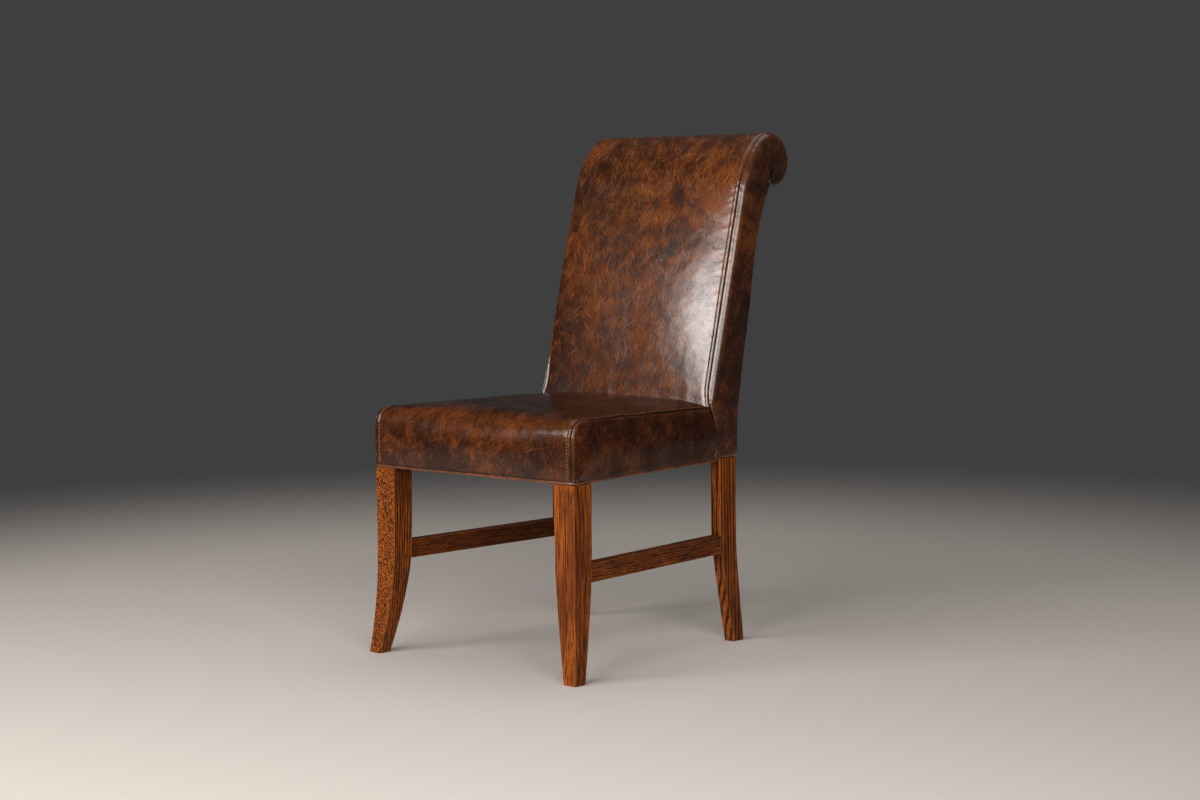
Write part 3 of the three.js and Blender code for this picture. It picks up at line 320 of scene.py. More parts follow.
def settled(places, from_seam, gather, evened, most, pressure=4.0):
    """The panel after its seams have gathered it and its padding has pushed it out."""
    rows, columns = places.shape[:2]
    mesh = bpy.data.meshes.new("settling")
    start = in_frame(places.reshape(-1, 3))
    faces = grid_faces(rows, columns)
    mesh.from_pydata(start.tolist(), [], faces.tolist())
    mesh.update()
    piece = bpy.data.objects.new("settling", mesh)
    bpy.context.scene.collection.objects.link(piece)
    held = np.zeros((rows, columns), dtype=bool)
    held[[0, -1]] = True
    held[:, [0, -1]] = True
    pins = piece.vertex_groups.new(name="pins")
    pins.add(np.nonzero(held.ravel())[0].tolist(), 1.0, "REPLACE")
    firm = piece.vertex_groups.new(name="firm")
    firmness = (1 - np.exp(-(from_seam / GATHER_REACH) ** 2)).ravel()
    for level in np.linspace(0.05, 1.0, 20):
        chosen = np.nonzero(np.abs(firmness - level) <= 0.0251)[0]
        if len(chosen):
            firm.add(chosen.tolist(), float(level), "REPLACE")
    modifier = piece.modifiers.new("settling", "CLOTH")
    settings = modifier.settings
    settings.quality = 5
    settings.mass = 0.15
    settings.air_damping = 4
    settings.tension_stiffness = 20
    settings.compression_stiffness = 20
    settings.shear_stiffness = 10
    settings.bending_stiffness = 0.1
    settings.use_pressure = True
    settings.uniform_pressure_force = pressure
    settings.effector_weights.gravity = 0
    settings.vertex_group_mass = "pins"
    settings.vertex_group_shrink = "firm"
    settings.shrink_min = -gather
    settings.shrink_max = 0.0
    modifier.collision_settings.use_collision = False
    modifier.point_cache.frame_start = 1
    modifier.point_cache.frame_end = SETTLING_FRAMES
    for number in range(1, SETTLING_FRAMES + 1):
        bpy.context.scene.frame_set(number)
    shown = piece.evaluated_get(bpy.context.evaluated_depsgraph_get())
    ended = np.zeros(rows * columns * 3)
    shown.data.vertices.foreach_get("co", ended)
    bpy.data.objects.remove(piece)
    bpy.data.meshes.remove(mesh)
    bpy.context.scene.frame_set(1)
    moved = (ended.reshape(-1, 3) - start).reshape(rows, columns, 3) / MM
    for _ in range(evened):
        beside = moved[:-2, 1:-1] + moved[2:, 1:-1] + moved[1:-1, :-2] + moved[1:-1, 2:]
        moved[1:-1, 1:-1] = 0.5 * moved[1:-1, 1:-1] + 0.125 * beside
    length = np.linalg.norm(moved, axis=2, keepdims=True)
    moved *= most * np.tanh(length / most) / np.maximum(length, 1e-6)
    return places + moved


def panel(name, places, hint, flat, relief, material, marks):
    """A leather panel: a grid of places raised by its relief, with a closed thickness."""
    outward = surface_normals(places)
    if (outward * hint).sum() < 0:
        outward = -outward
    raised = places + outward * relief[..., None]
    faces = grid_faces(*places.shape[:2])
    faces = face_the_right_way(faces, raised, outward)
    flat_points = {key: values.ravel() for key, values in marks.items()}
    piece = make_piece(
        name, raised.reshape(-1, 3), faces, material, flat.reshape(-1, 2), flat_points,
    )
    finer = piece.modifiers.new("finer", "SUBSURF")
    finer.levels = 1
    finer.render_levels = 1
    thick = piece.modifiers.new("thickness", "SOLIDIFY")
    thick.thickness = LEATHER_THICKNESS * MM
    thick.offset = -1
    return piece, raised, outward


# Materials
class Shader:
    """A node material put together by name."""

    def __init__(self, name):
        self.material = bpy.data.materials.new(name)
        self.material.use_nodes = True
        self.tree = self.material.node_tree
        self.tree.nodes.clear()
        self.output = self.tree.nodes.new("ShaderNodeOutputMaterial")

    def add(self, kind, inputs=(), out=0, **settings):
        node = self.tree.nodes.new("ShaderNode" + kind)
        for key, value in settings.items():
            setattr(node, key, value)
        for key, value in dict(inputs).items():
            self.plug(node.inputs[key], value)
        return node.outputs[out]

    def plug(self, socket, value):
        if isinstance(value, bpy.types.NodeSocket):
            self.tree.links.new(value, socket)
        else:
            socket.default_value = value

    def math(self, operation, a, b=0.0, clamp=False):
        return self.add("Math", {0: a, 1: b}, operation=operation, use_clamp=clamp)

    def vector(self, operation, a, b=(0, 0, 0)):
        return self.add("VectorMath", {0: a, 1: b}, operation=operation)

    def noise(self, place, scale, detail=2.0, roughness=0.5, flat=False):
        return self.add(
            "TexNoise",
            {"Vector": place, "Scale": scale, "Detail": detail, "Roughness": roughness},
            noise_dimensions="2D" if flat else "3D",
        )

    def noise_ways(self, place, scale, detail=1.0, flat=False):
        return self.add(
            "TexNoise", {"Vector": place, "Scale": scale, "Detail": detail}, out=1,
            noise_dimensions="2D" if flat else "3D",
        )

    def blend(self, share, a, b):
        return self.add("Mix", {0: share, 6: a, 7: b}, out=2, data_type="RGBA")

    def darken(self, share, a, b):
        return self.add("Mix", {0: share, 6: a, 7: b}, out=2, data_type="RGBA", blend_type="MULTIPLY")

    def between(self, value, low, high, to_low=0.0, to_high=1.0):
        return self.add(
            "MapRange", {0: value, 1: low, 2: high, 3: to_low, 4: to_high},
            interpolation_type="SMOOTHSTEP",
        )

    def lines(self, place, turn, width, length, low, high):
        """Fine streaks across a flat place, turned by an angle, as a mask."""
        turned = self.add("VectorRotate", {"Vector": place, "Angle": turn}, rotation_type="Z_AXIS")
        drawn = self.vector("MULTIPLY", turned, (1 / width, 1 / length, 1.0))
        return self.between(self.noise(drawn, 1.0, 2.0, 0.5, flat=True), low, high)

    def bump(self, height, distance, strength=1.0, normal=None):
        inputs = {"Height": height, "Distance": distance, "Strength": strength}
        if normal is not None:
            inputs["Normal"] = normal
        return self.add("Bump", inputs)

    def finish(self, colour, roughness, normal=None, **fixed):
        inputs = {"Base Color": colour, "Roughness": roughness}
        if normal is not None:
            inputs["Normal"] = normal
        inputs.update({key.replace("_", " "): value for key, value in fixed.items()})
        surface = self.add("BsdfPrincipled", inputs)
        self.tree.links.new(surface, self.output.inputs["Surface"])
        return self.material


LEATHER_DARK = (0.0200, 0.0040, 0.0012, 1)
LEATHER_MIDDLE = (0.0550, 0.0120, 0.0023, 1)
LEATHER_WARM = (0.1700, 0.0410, 0.0062, 1)
LEATHER_STREAK = (0.3500, 0.1180, 0.0290, 1)
# Lighter orange-brown: wear, and painted highlight on the rolled strips and the fold's lip
LEATHER_WEAR_AND_HIGHLIGHT = (0.2200, 0.0700, 0.0200, 1)
# Nearly black: painted shade in seams, folds and tucks
GROOVE_SHADE_COLOUR = (0.0070, 0.0030, 0.0020, 1)


def leather(name, offset, turns, streaks=1.0, tone=0.0, gloss=0.85):
    """Waxed leather: dark mottling, hair-like lighter streaks, worn edges partly painted as highlight."""
    shader = Shader(name)
    flat = shader.add("UVMap", uv_map="flat")
    flat = shader.vector("ADD", flat, (offset[0], offset[1], 0.0))
    solid = shader.add("TexCoord", out=3)
    bend = shader.vector("SUBTRACT", shader.noise_ways(flat, 9.0, 1.0, flat=True), (0.5, 0.5, 0.5))
    bent = shader.vector("ADD", flat, shader.vector("MULTIPLY", bend, (0.038, 0.038, 0.0)))
    bend = shader.vector("SUBTRACT", shader.noise_ways(flat, 48.0, 1.0, flat=True), (0.5, 0.5, 0.5))
    bent = shader.vector("ADD", bent, shader.vector("MULTIPLY", bend, (0.0016, 0.0016, 0.0)))
    clouds = shader.noise(solid, 8.0, 3.0, 0.55)
    patches = shader.noise(solid, 30.0, 6.0, 0.66)
    leaning = shader.add("VectorRotate", {"Vector": bent, "Angle": turns[0]}, rotation_type="Z_AXIS")
    brushed = shader.vector("MULTIPLY", leaning, (1.0, 0.22, 1.0))
    fibres = shader.noise(brushed, 300.0, 3.0, 0.60, flat=True)
    depth = shader.math("MULTIPLY", clouds, 0.36)
    depth = shader.math("ADD", depth, shader.math("MULTIPLY", patches, 0.44))
    depth = shader.math("ADD", depth, shader.math("MULTIPLY", fibres, 0.20))
    depth = shader.math("ADD", depth, tone)
    colour = shader.blend(shader.between(depth, 0.34, 0.50), LEATHER_DARK, LEATHER_MIDDLE)
    colour = shader.blend(shader.between(depth, 0.45, 0.62), colour, LEATHER_WARM)
    hairs = None
    for i, turn in enumerate(turns):
        fine = shader.lines(bent, turn, 0.0019, 0.036, 0.52, 0.75)
        broad = shader.lines(bent, turn + 0.40, 0.0036, 0.075, 0.53, 0.76)
        shifted = shader.vector("ADD", flat, (3.1 * i, 1.7, 0.0))
        where = shader.between(shader.noise(shifted, 24.0, 3.0, 0.6, flat=True), 0.42, 0.66)
        drawn = shader.math("MAXIMUM", fine, shader.math("MULTIPLY", broad, 0.9))
        drawn = shader.math("MULTIPLY", drawn, where)
        hairs = drawn if hairs is None else shader.math("MAXIMUM", hairs, drawn)
    faint = shader.math("MULTIPLY", hairs, shader.between(depth, 0.34, 0.56, 0.30, 0.85))
    colour = shader.blend(shader.math("MULTIPLY", faint, 0.95 * streaks), colour, LEATHER_STREAK)
    specks = shader.noise(flat, 430.0, 2.0, 0.6, flat=True)
    specks = shader.between(specks, 0.58, 0.36, 0.0, 0.6)
    colour = shader.darken(specks, colour, (0.40, 0.34, 0.32, 1))
    # Lighter where worn; on the rolled strips and the scroll end's fold lip this is partly painted highlight.
    wear_and_highlight = shader.add("Attribute", out=2, attribute_name="wear_and_highlight")
    wear_and_highlight = shader.math("MULTIPLY", wear_and_highlight, shader.between(patches, 0.30, 0.62, 0.35, 1.0))
    colour = shader.blend(shader.math("MULTIPLY", wear_and_highlight, 0.5), colour, LEATHER_WEAR_AND_HIGHLIGHT)
    shade = shader.add("Attribute", out=2, attribute_name="shade")
    colour = shader.darken(shade, colour, (0.45, 0.42, 0.40, 1))
    # Painted shade: the colour turns nearly black in seams, folds and tucks, where shade falls.
    groove = shader.add("Attribute", out=2, attribute_name="groove")
    colour = shader.blend(groove, colour, GROOVE_SHADE_COLOUR)
    rough = shader.between(depth, 0.38, 0.62, 0.25, 0.19)
    rough = shader.math("ADD", rough, shader.math("MULTIPLY", hairs, 0.03))
    rough = shader.math("ADD", rough, shader.math("MULTIPLY", wear_and_highlight, 0.08))
    rough = shader.math("ADD", rough, shader.math("MULTIPLY", groove, 0.35), clamp=True)
    pores = shader.add("TexVoronoi", {"Vector": flat, "Scale": 700.0}, voronoi_dimensions="2D")
    creases = shader.noise(bent, 150.0, 4.0, 0.6, flat=True)
    normal = shader.bump(creases, 0.00030, 0.6)
    normal = shader.bump(pores, 0.00008, 0.7, normal)
    return shader.finish(
        colour, rough, normal, Specular_IOR_Level=gloss,
    )


WOOD_LIGHT = (0.4200, 0.1000, 0.0080, 1)
WOOD_MIDDLE = (0.2000, 0.0420, 0.0040, 1)
WOOD_DARK = (0.0110, 0.0042, 0.0020, 1)
WOOD_RUBBED = (0.4000, 0.1300, 0.0300, 1)


def wood(name, along, across, spacing, offset, tone=0.0, bold=0.5, flecks=0.0):
    """Open-grained oak under an orange-brown stain, its grain along one axis."""
    shader = Shader(name)
    place = shader.vector("ADD", shader.add("TexCoord", out=3), offset)
    if along == "Y":
        place = shader.add("VectorRotate", {"Vector": place, "Angle": math.pi / 2}, rotation_type="X_AXIS")
    sway = shader.noise_ways(shader.vector("MULTIPLY", place, (5.0, 5.0, 3.0)), 1.0, 1.0)
    sway = shader.vector("MULTIPLY", shader.vector("SUBTRACT", sway, (0.5, 0.5, 0.5)), (0.022, 0.022, 0.0))
    swayed = shader.vector("ADD", place, sway)
    uneven = shader.noise(shader.vector("MULTIPLY", swayed, (70.0, 70.0, 7.0)), 1.0, 3.0, 0.6)
    layer = shader.add("VectorMath", {0: swayed, 1: across}, out=1, operation="DOT_PRODUCT")
    rings = shader.math("MULTIPLY", layer, 1 / spacing)
    rings = shader.math("ADD", rings, shader.math("MULTIPLY", uneven, 1.3))
    wave = shader.math("SINE", shader.math("MULTIPLY", rings, 2 * math.pi))
    early = shader.between(wave, 0.05, 0.80)
    streak = shader.noise(shader.vector("MULTIPLY", swayed, (300.0, 300.0, 8.0)), 1.0, 3.0, 0.5)
    lines = shader.between(streak, 0.49, 0.57)
    fine = shader.noise(shader.vector("MULTIPLY", swayed, (760.0, 760.0, 22.0)), 1.0, 2.0, 0.6)
    fine = shader.between(fine, 0.50, 0.60, 0.0, 0.7)
    stain = shader.noise(shader.vector("MULTIPLY", place, (24.0, 24.0, 8.0)), 1.0, 5.0, 0.65)
    stain = shader.math("ADD", stain, tone)
    colour = shader.blend(shader.between(stain, 0.34, 0.62), WOOD_MIDDLE, WOOD_LIGHT)
    open_grain = shader.math("MULTIPLY", lines, shader.between(early, 0.0, 1.0, 0.50, 1.0))
    open_grain = shader.math("MAXIMUM", open_grain, fine)
    open_grain = shader.math("MAXIMUM", open_grain, shader.math("MULTIPLY", early, bold))
    if flecks:
        normal = shader.add("NewGeometry", out=1)
        facing = shader.math("ABSOLUTE", shader.add("SeparateXYZ", {0: normal}, out=1))
        front = shader.between(facing, 0.6, 0.8)
        short = shader.noise(shader.vector("MULTIPLY", swayed, (620.0, 620.0, 250.0)), 1.0, 2.0, 0.6)
        fleck = shader.between(short, 0.44, 0.53, 0.0, flecks)
        open_grain = shader.add("Mix", {0: front, 2: open_grain, 3: fleck}, data_type="FLOAT")
        colour = shader.blend(shader.math("MULTIPLY", front, 0.5), colour, WOOD_LIGHT)
    colour = shader.blend(open_grain, colour, WOOD_DARK)
    bevel = shader.add("Bevel", {"Radius": 0.0030}, samples=6)
    true_normal = shader.add("NewGeometry", out=1)
    agree = shader.add("VectorMath", {0: bevel, 1: true_normal}, out=1, operation="DOT_PRODUCT")
    arris = shader.between(agree, 0.985, 0.90)
    broken = shader.between(shader.noise(place, 160.0, 3.0, 0.6), 0.35, 0.60, 0.15, 0.80)
    colour = shader.blend(shader.math("MULTIPLY", arris, broken), colour, WOOD_RUBBED)
    rough = shader.math("ADD", shader.math("MULTIPLY", open_grain, 0.25), 0.33)
    normal = shader.bump(shader.math("MULTIPLY", open_grain, -1.0), 0.00020, 0.8)
    return shader.finish(colour, rough, normal, Specular_IOR_Level=0.14)


def cloth(name, colour, pitch, rough=0.95):
    """Plain weave, by threads over and under each other."""
    shader = Shader(name)
    place = shader.add("TexCoord", out=3)
    x, y, z = (shader.add("SeparateXYZ", {0: place}, out=i) for i in range(3))
    turn = 2 * math.pi / pitch
    warp = shader.math("SINE", shader.math("MULTIPLY", shader.math("ADD", x, z), turn))
    weft = shader.math("SINE", shader.math("MULTIPLY", shader.math("ADD", y, z), turn))
    weave = shader.math("MULTIPLY", warp, weft)
    fuzz = shader.noise(place, 420.0, 3.0)
    shade = shader.between(weave, -1.0, 1.0, 0.55, 1.0)
    shade = shader.math("MULTIPLY", shade, shader.between(fuzz, 0.3, 0.7, 0.8, 1.1))
    dark = tuple(0.35 * part for part in colour[:3]) + (1,)
    tint = shader.blend(shade, dark, colour)
    return shader.finish(tint, rough, shader.bump(weave, 0.0003, 0.7))


def steel(name):
    """Plated screws, faintly brushed."""
    shader = Shader(name)
    place = shader.add("TexCoord", out=3)
    scratch = shader.noise(shader.vector("MULTIPLY", place, (900.0, 900.0, 120.0)), 1.0, 3.0)
    rough = shader.between(scratch, 0.3, 0.7, 0.28, 0.5)
    tint = shader.blend(scratch, (0.42, 0.42, 0.44, 1), (0.66, 0.66, 0.68, 1))
    return shader.finish(tint, rough, shader.bump(scratch, 0.00005, 0.5), Metallic=1.0)


def foam(name):
    """Cut foam with small open cells."""
    shader = Shader(name)
    place = shader.add("TexCoord", out=3)
    cells = shader.add("TexVoronoi", {"Vector": place, "Scale": 500.0})
    shade = shader.between(cells, 0.0, 0.6)
    tint = shader.blend(shade, (0.45, 0.38, 0.22, 1), (0.86, 0.80, 0.60, 1))
    return shader.finish(tint, 0.95, shader.bump(cells, 0.0006, 0.6))


def thread(name):
    shader = Shader(name)
    place = shader.add("TexCoord", out=3)
    twist = shader.noise(place, 900.0, 2.0)
    tint = shader.blend(twist, (0.14, 0.055, 0.023, 1), (0.40, 0.210, 0.105, 1))
    return shader.finish(tint, 0.55, shader.bump(twist, 0.0002, 0.6))


def hole_shadow(name):
    # Nearly black: painted shadow inside the needle holes
    shader = Shader(name)
    place = shader.add("TexCoord", out=3)
    shadow_mottle = shader.noise(place, 700.0, 2.0)
    tint = shader.blend(shadow_mottle, (0.004, 0.002, 0.0015, 1), (0.016, 0.007, 0.004, 1))
    return shader.finish(tint, 0.9, shader.bump(shadow_mottle, 0.0001, 0.5))


RISING = math.radians(-38)
STEEP = math.radians(-8)
SLANTED = math.radians(24)
back_leather = leather("back leather", (0.0, 0.0), (RISING, STEEP, SLANTED))
seat_leather = leather("seat leather", (2.3, 1.1), (SLANTED, RISING, math.radians(55)), 0.65, -0.05, 0.36)
side_leather = leather("side leather", (4.7, 2.9), (STEEP, math.radians(12), RISING), 0.65, -0.045)
rear_leather = leather("rear leather", (7.9, 5.3), (STEEP, RISING, SLANTED), 0.9)
welt_leather = leather("welt leather", (9.1, 6.7), (math.radians(80), math.radians(60)), 0.8, 0.05)
stitch_thread = thread("stitch thread")
needle_hole_shadow = hole_shadow("needle hole")


# Leather panels
def back_roll(z, low):
    """The rolled edge beside the back's seam, small where it goes down behind the seat."""
    rise = smooth((z - (SEAT_REAR_TOP - 8)) / 50)
    return np.where(low, mix(GROOVE_ROLL, BACK_ROLL, rise), BACK_ROLL)


def far_turn(z, low):
    """How far round the edge the back's right seam lies: little at the seat, more above."""
    rise = smooth((z - SEAT_REAR_TOP) / 200)
    return np.radians(np.where(low, mix(18.0, FAR_SEAM_TURN, rise), FAR_SEAM_TURN))


def spread(left, right, spacing):
    """Places across a panel whose edges move, with the close columns kept at its seams."""
    width = (left + right)[:, None]
    most = width.max()
    base = edge_columns(most, spacing)[None, :] + most / 2
    inner = 10.2 + (base - 10.2) * (width - 20.4) / (most - 20.4)
    place = np.where(base < 10.5, base, np.where(base > most - 10.5, width - most + base, inner))
    return place - left[:, None]


def back_inside():
    """Inside back: up the front, over the scroll and tucked into the crease."""
    line = resample(back_front(440.0, math.radians(7)), 4.0)
    outward = outward_of(line)
    along = lengths_along(line)
    crown_start = SEAT_REAR_TOP + SEAT_CROWN
    rise = np.clip((line[:, 1] - crown_start) / (NECK_FOOT[1] - crown_start), 0, 1)
    weight = np.sin(math.pi * 0.9 * rise)
    past_neck = np.clip((line[:, 1] - NECK_FOOT[1]) / 110.0, 0, 1)
    on_front = line[:, 0] < SCROLL_CENTRE[0]
    weight = np.where(on_front, weight * (1 - smooth(past_neck)), 0.0)
    low = line[:, 0] < 520
    roll = back_roll(line[:, 1], low)
    right = BACK_HALF - roll
    left = right + roll * far_turn(line[:, 1], low)
    across = spread(left, right, 4.5)
    share = across / np.where(across < 0, left[:, None], right[:, None])
    push = BACK_FULLNESS * weight[:, None] * edge_fade(share)
    turned = np.maximum(0, -right[:, None] - across) / roll[:, None]
    push = push - roll[:, None] * (1 - np.cos(turned))
    x = np.where(turned > 0, -right[:, None] - roll[:, None] * np.sin(turned), across)
    side_view = line[:, None, :] + outward[:, None, :] * push[..., None]
    places = np.stack([x, side_view[..., 0], side_view[..., 1]], axis=2)
    hint = np.stack([np.zeros_like(along), outward[:, 0], outward[:, 1]], axis=1)[:, None, :]
    from_edge = np.minimum(across + left[:, None], right[:, None] - across)
    places = settled(places, from_edge, 0.004, 90, 1.6)
    run = np.broadcast_to(along[:, None], push.shape)
    pull = 0.55 + 0.45 * np.clip(ripple(along, 60, 11), 0, 1)
    puckers = ripple(run + 0.35 * from_edge, 17, 12) * np.exp(-from_edge / 13) * pull[:, None]
    relief = (
        seam_dip(from_edge) + stitch_dip(from_edge) + 0.38 * puckers
        + 0.25 * swell(across, run, 120, 13) + 0.08 * swell(across, run, 28, 14)
    )
    near_seat = np.exp(-((run - along[0]) / 70) ** 2)
    relief += 0.25 * near_seat * ripple(across + 0.2 * run, 34, 15)
    marks = {
        # Painted shade along the seams
        "groove": np.clip(1 - from_edge / 1.6, 0, 1),
        "wear_and_highlight": 0.5 * np.exp(-((from_edge - 4.5) / 3.5) ** 2),
        "shade": np.maximum(
            0.9 * np.exp(-(run - along[0]) / 160) * (1 - smooth((across + 10) / 150)),
            FAR_SHADE * smooth(turned / 0.6),
        ),
    }
    flat = np.stack([across, run], axis=2)
    piece, raised, normals = panel(
        "back_leather_inside", places, hint, flat, relief, back_leather, marks,
    )
    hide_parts("back_cover_inside", "back_foam")
    return across, raised, normals


def seat_line():
    """Up the front of the seat, round its corner and back along its top."""
    front = np.array([[SEAT_FRONT, WELT_TOP - 2.0], [SEAT_FRONT, SEAT_FRONT_TOP - SEAT_CORNER]])
    centre = np.array([SEAT_FRONT + SEAT_CORNER, SEAT_FRONT_TOP - SEAT_CORNER])
    corner = arc(centre, SEAT_CORNER, math.pi, math.pi / 2, 40)
    return np.concatenate([front, corner[1:], [LINE_START]])


def seat_top_front():
    """Seat: one waterfall panel up the front and over the top."""
    line = seat_line()
    beyond = LINE_START + np.array([10.0, -0.2])
    line = resample(np.concatenate([line, [beyond]]), 4.0)
    outward = outward_of(line)
    along = lengths_along(line)
    front_rise = SEAT_FRONT_TOP - SEAT_CORNER - WELT_TOP
    turn_start = front_rise + 2.0
    turn_end = turn_start + SEAT_CORNER * math.pi / 2
    in_front = np.clip(along / turn_start, 0, 1)
    front_swell = FRONT_BULGE * np.sin(math.pi * mix(0.08, 0.8, in_front))
    on_top = np.clip((along - turn_end) / (SEAT_DEPTH - SEAT_CORNER), 0, 1)
    top_swell = SEAT_CROWN * (0.3 + 0.7 * np.sin(math.pi * 0.75 * on_top))
    turning = np.clip((along - turn_start) / (turn_end - turn_start), 0, 1)
    weight = np.where(along < turn_end, mix(front_swell, 0.3 * SEAT_CROWN, turning), top_swell)
    widths = 2 * (seat_half(line[:, 0]) - SEAT_ROLL)
    across = spread(widths / 2, widths / 2, 5.0)
    half = seat_half(line[:, 0])[:, None]
    push = weight[:, None] * edge_fade(across / half)
    side_view = line[:, None, :] + outward[:, None, :] * push[..., None]
    places = np.stack([across, side_view[..., 0], side_view[..., 1]], axis=2)
    hint = np.stack([np.zeros_like(along), outward[:, 0], outward[:, 1]], axis=1)[:, None, :]
    from_edge = widths[:, None] / 2 - np.abs(across)
    places = settled(places, from_edge, 0.018, 8, 6.0)
    run = np.broadcast_to(along[:, None], across.shape)
    at_turn = np.exp(-((run - turn_start - 12) / 26) ** 2)
    puckers = ripple(run + 0.3 * from_edge, 15, 21) * np.exp(-from_edge / 14)
    relief = (
        seam_dip(from_edge) + stitch_dip(from_edge) + (0.35 + 0.75 * at_turn) * puckers
        + 0.6 * swell(across, run, 130, 23) + 0.15 * swell(across, run, 30, 24)
    )
    hem = np.exp(-run / 9)
    relief += hem * (0.35 * ripple(across, 26, 25) - 0.8)
    relief -= 2.4 * np.exp(-from_edge / 10) * np.exp(-((run - turn_start + 4) / 26) ** 2)
    marks = {
        # Painted shade along the seams and at the hem against the welt
        "groove": np.maximum(np.clip(1 - from_edge / 1.6, 0, 1), 0.7 * np.exp(-run / 2.5)),
        "wear_and_highlight": np.maximum(
            0.5 * np.exp(-((from_edge - 4.5) / 3.5) ** 2),
            0.35 * np.exp(-((run - turn_start - 20) / 22) ** 2),
        ),
        "shade": np.maximum(
            0.15 + 0.75 * smooth((run - turn_start - 12) / 60),
            np.where(across < 0, FAR_SHADE * np.exp(-(from_edge / 9) ** 2), 0.0),
        ),
    }
    flat = np.stack([across, run], axis=2)
    piece, raised, normals = panel(
        "seat_leather_top_front", places, hint, flat, relief, seat_leather, marks,
    )
    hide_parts("seat_cover_top_front", "seat_foam")
    return across, raised, normals


ROLL_TURNS = np.radians([0, 3, 6, 10, 15, 21, 28, 36, 45, 54, 63, 72, 81, 90])


def rolled_columns(edge, inward, radius, half, start):
    """The rolled strip from a seam round to the side: its places and its lengths."""
    turn = start[:, None] + (math.pi / 2 - start[:, None]) * ROLL_TURNS[None, :] / (math.pi / 2)
    reach = radius[:, None] * (1 - np.cos(turn))
    side_view = edge[:, None, :] + inward[:, None, :] * reach[..., None]
    x = half[:, None] - radius[:, None] * (1 - np.sin(turn))
    places = np.stack([x, side_view[..., 0], side_view[..., 1]], axis=2)
    return places, radius[:, None] * (turn - start[:, None])


def side_panel(name, edge, inward, radius, half_at, far, seed, replaced, details, material):
    """A side panel between a rolled seam and a far edge, for both sides of the chair."""
    along = lengths_along(edge)
    shares = np.concatenate([np.linspace(0, 1, 20)[1:-1], [0.96, 0.98, 0.99, 1.0]])
    for side, word in ((1, "left"), (-1, "right")):
        number = seed + (0 if side > 0 else 50)
        start = details["start"](edge) if side < 0 else np.zeros(len(edge))
        rolled, rolled_length = rolled_columns(edge, inward, radius, half_at(edge[:, 0]), start)
        begin = rolled[:, -1, 1:]
        side_view = begin[:, None, :] + (far - begin)[:, None, :] * shares[None, :, None]
        side_view += details["bow"](shares)
        width = np.linalg.norm(far - begin, axis=1)
        face = np.stack([half_at(side_view[..., 0]), side_view[..., 0], side_view[..., 1]], axis=2)
        places = np.concatenate([rolled, face], axis=1)
        on_face = rolled_length[:, -1:] + width[:, None] * shares[None, :]
        from_seam = np.concatenate([rolled_length, on_face], axis=1)
        whole = np.broadcast_to(width[:, None], rolled_length.shape)
        from_far = np.concatenate([whole, width[:, None] * (1 - shares)], axis=1)
        run = np.broadcast_to(along[:, None], from_seam.shape)
        bulge = np.broadcast_to(np.sin(math.pi * shares) ** 2, face.shape[:2])
        dome = np.concatenate([np.zeros_like(rolled_length), bulge], axis=1)
        puckers = ripple(run + 0.4 * from_seam, 15, number) * np.exp(-from_seam / 16)
        relief = (
            seam_dip(from_seam, SEAM_DEPTH, 2.6) + details["pucker"](along)[:, None] * puckers
            + details["dome"] * dome + 0.35 * swell(places[..., 1], places[..., 2], 90, number + 1)
            + details["relief"](run, from_seam, from_far, places)
        )
        strip = ((from_seam - 0.8 * radius[:, None]) / (0.6 * radius[:, None])) ** 2
        marks = {
            # Painted shade along the rolled seam, with each panel's own shaded edges
            "groove": np.maximum(
                np.clip(1 - from_seam / 1.5, 0, 1), details["groove"](run, from_far, places),
            ),
            # Lighter on the middle of the rolled strip and along the fold's lip: partly wear, partly painted
            # highlight.
            "wear_and_highlight": np.maximum(
                details["wear_and_highlight"](along)[:, None] * np.exp(-strip), details["lip"](run, from_far),
            ),
            "shade": details["shade"] + (FAR_SHADE if side < 0 else 0.0) * np.exp(-strip),
        }
        turned = places * np.array([side, 1, 1])
        hint = np.array([side * 1.0, 0.0, 0.0])
        unrolled = edge[:, None, :] + inward[:, None, :] * rolled_length[..., None]
        spare = (rolled_length[:, -1] - radius)[:, None, None] * (1 - shares)[None, :, None]
        flat = np.concatenate([unrolled, side_view + inward[:, None, :] * spare], axis=1)
        flat = flat * np.array([side, 1])
        piece, raised, normals = panel(
            f"{name}_{word}", turned, hint, flat, relief, material, marks,
        )
        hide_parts(f"{replaced}_{word}")


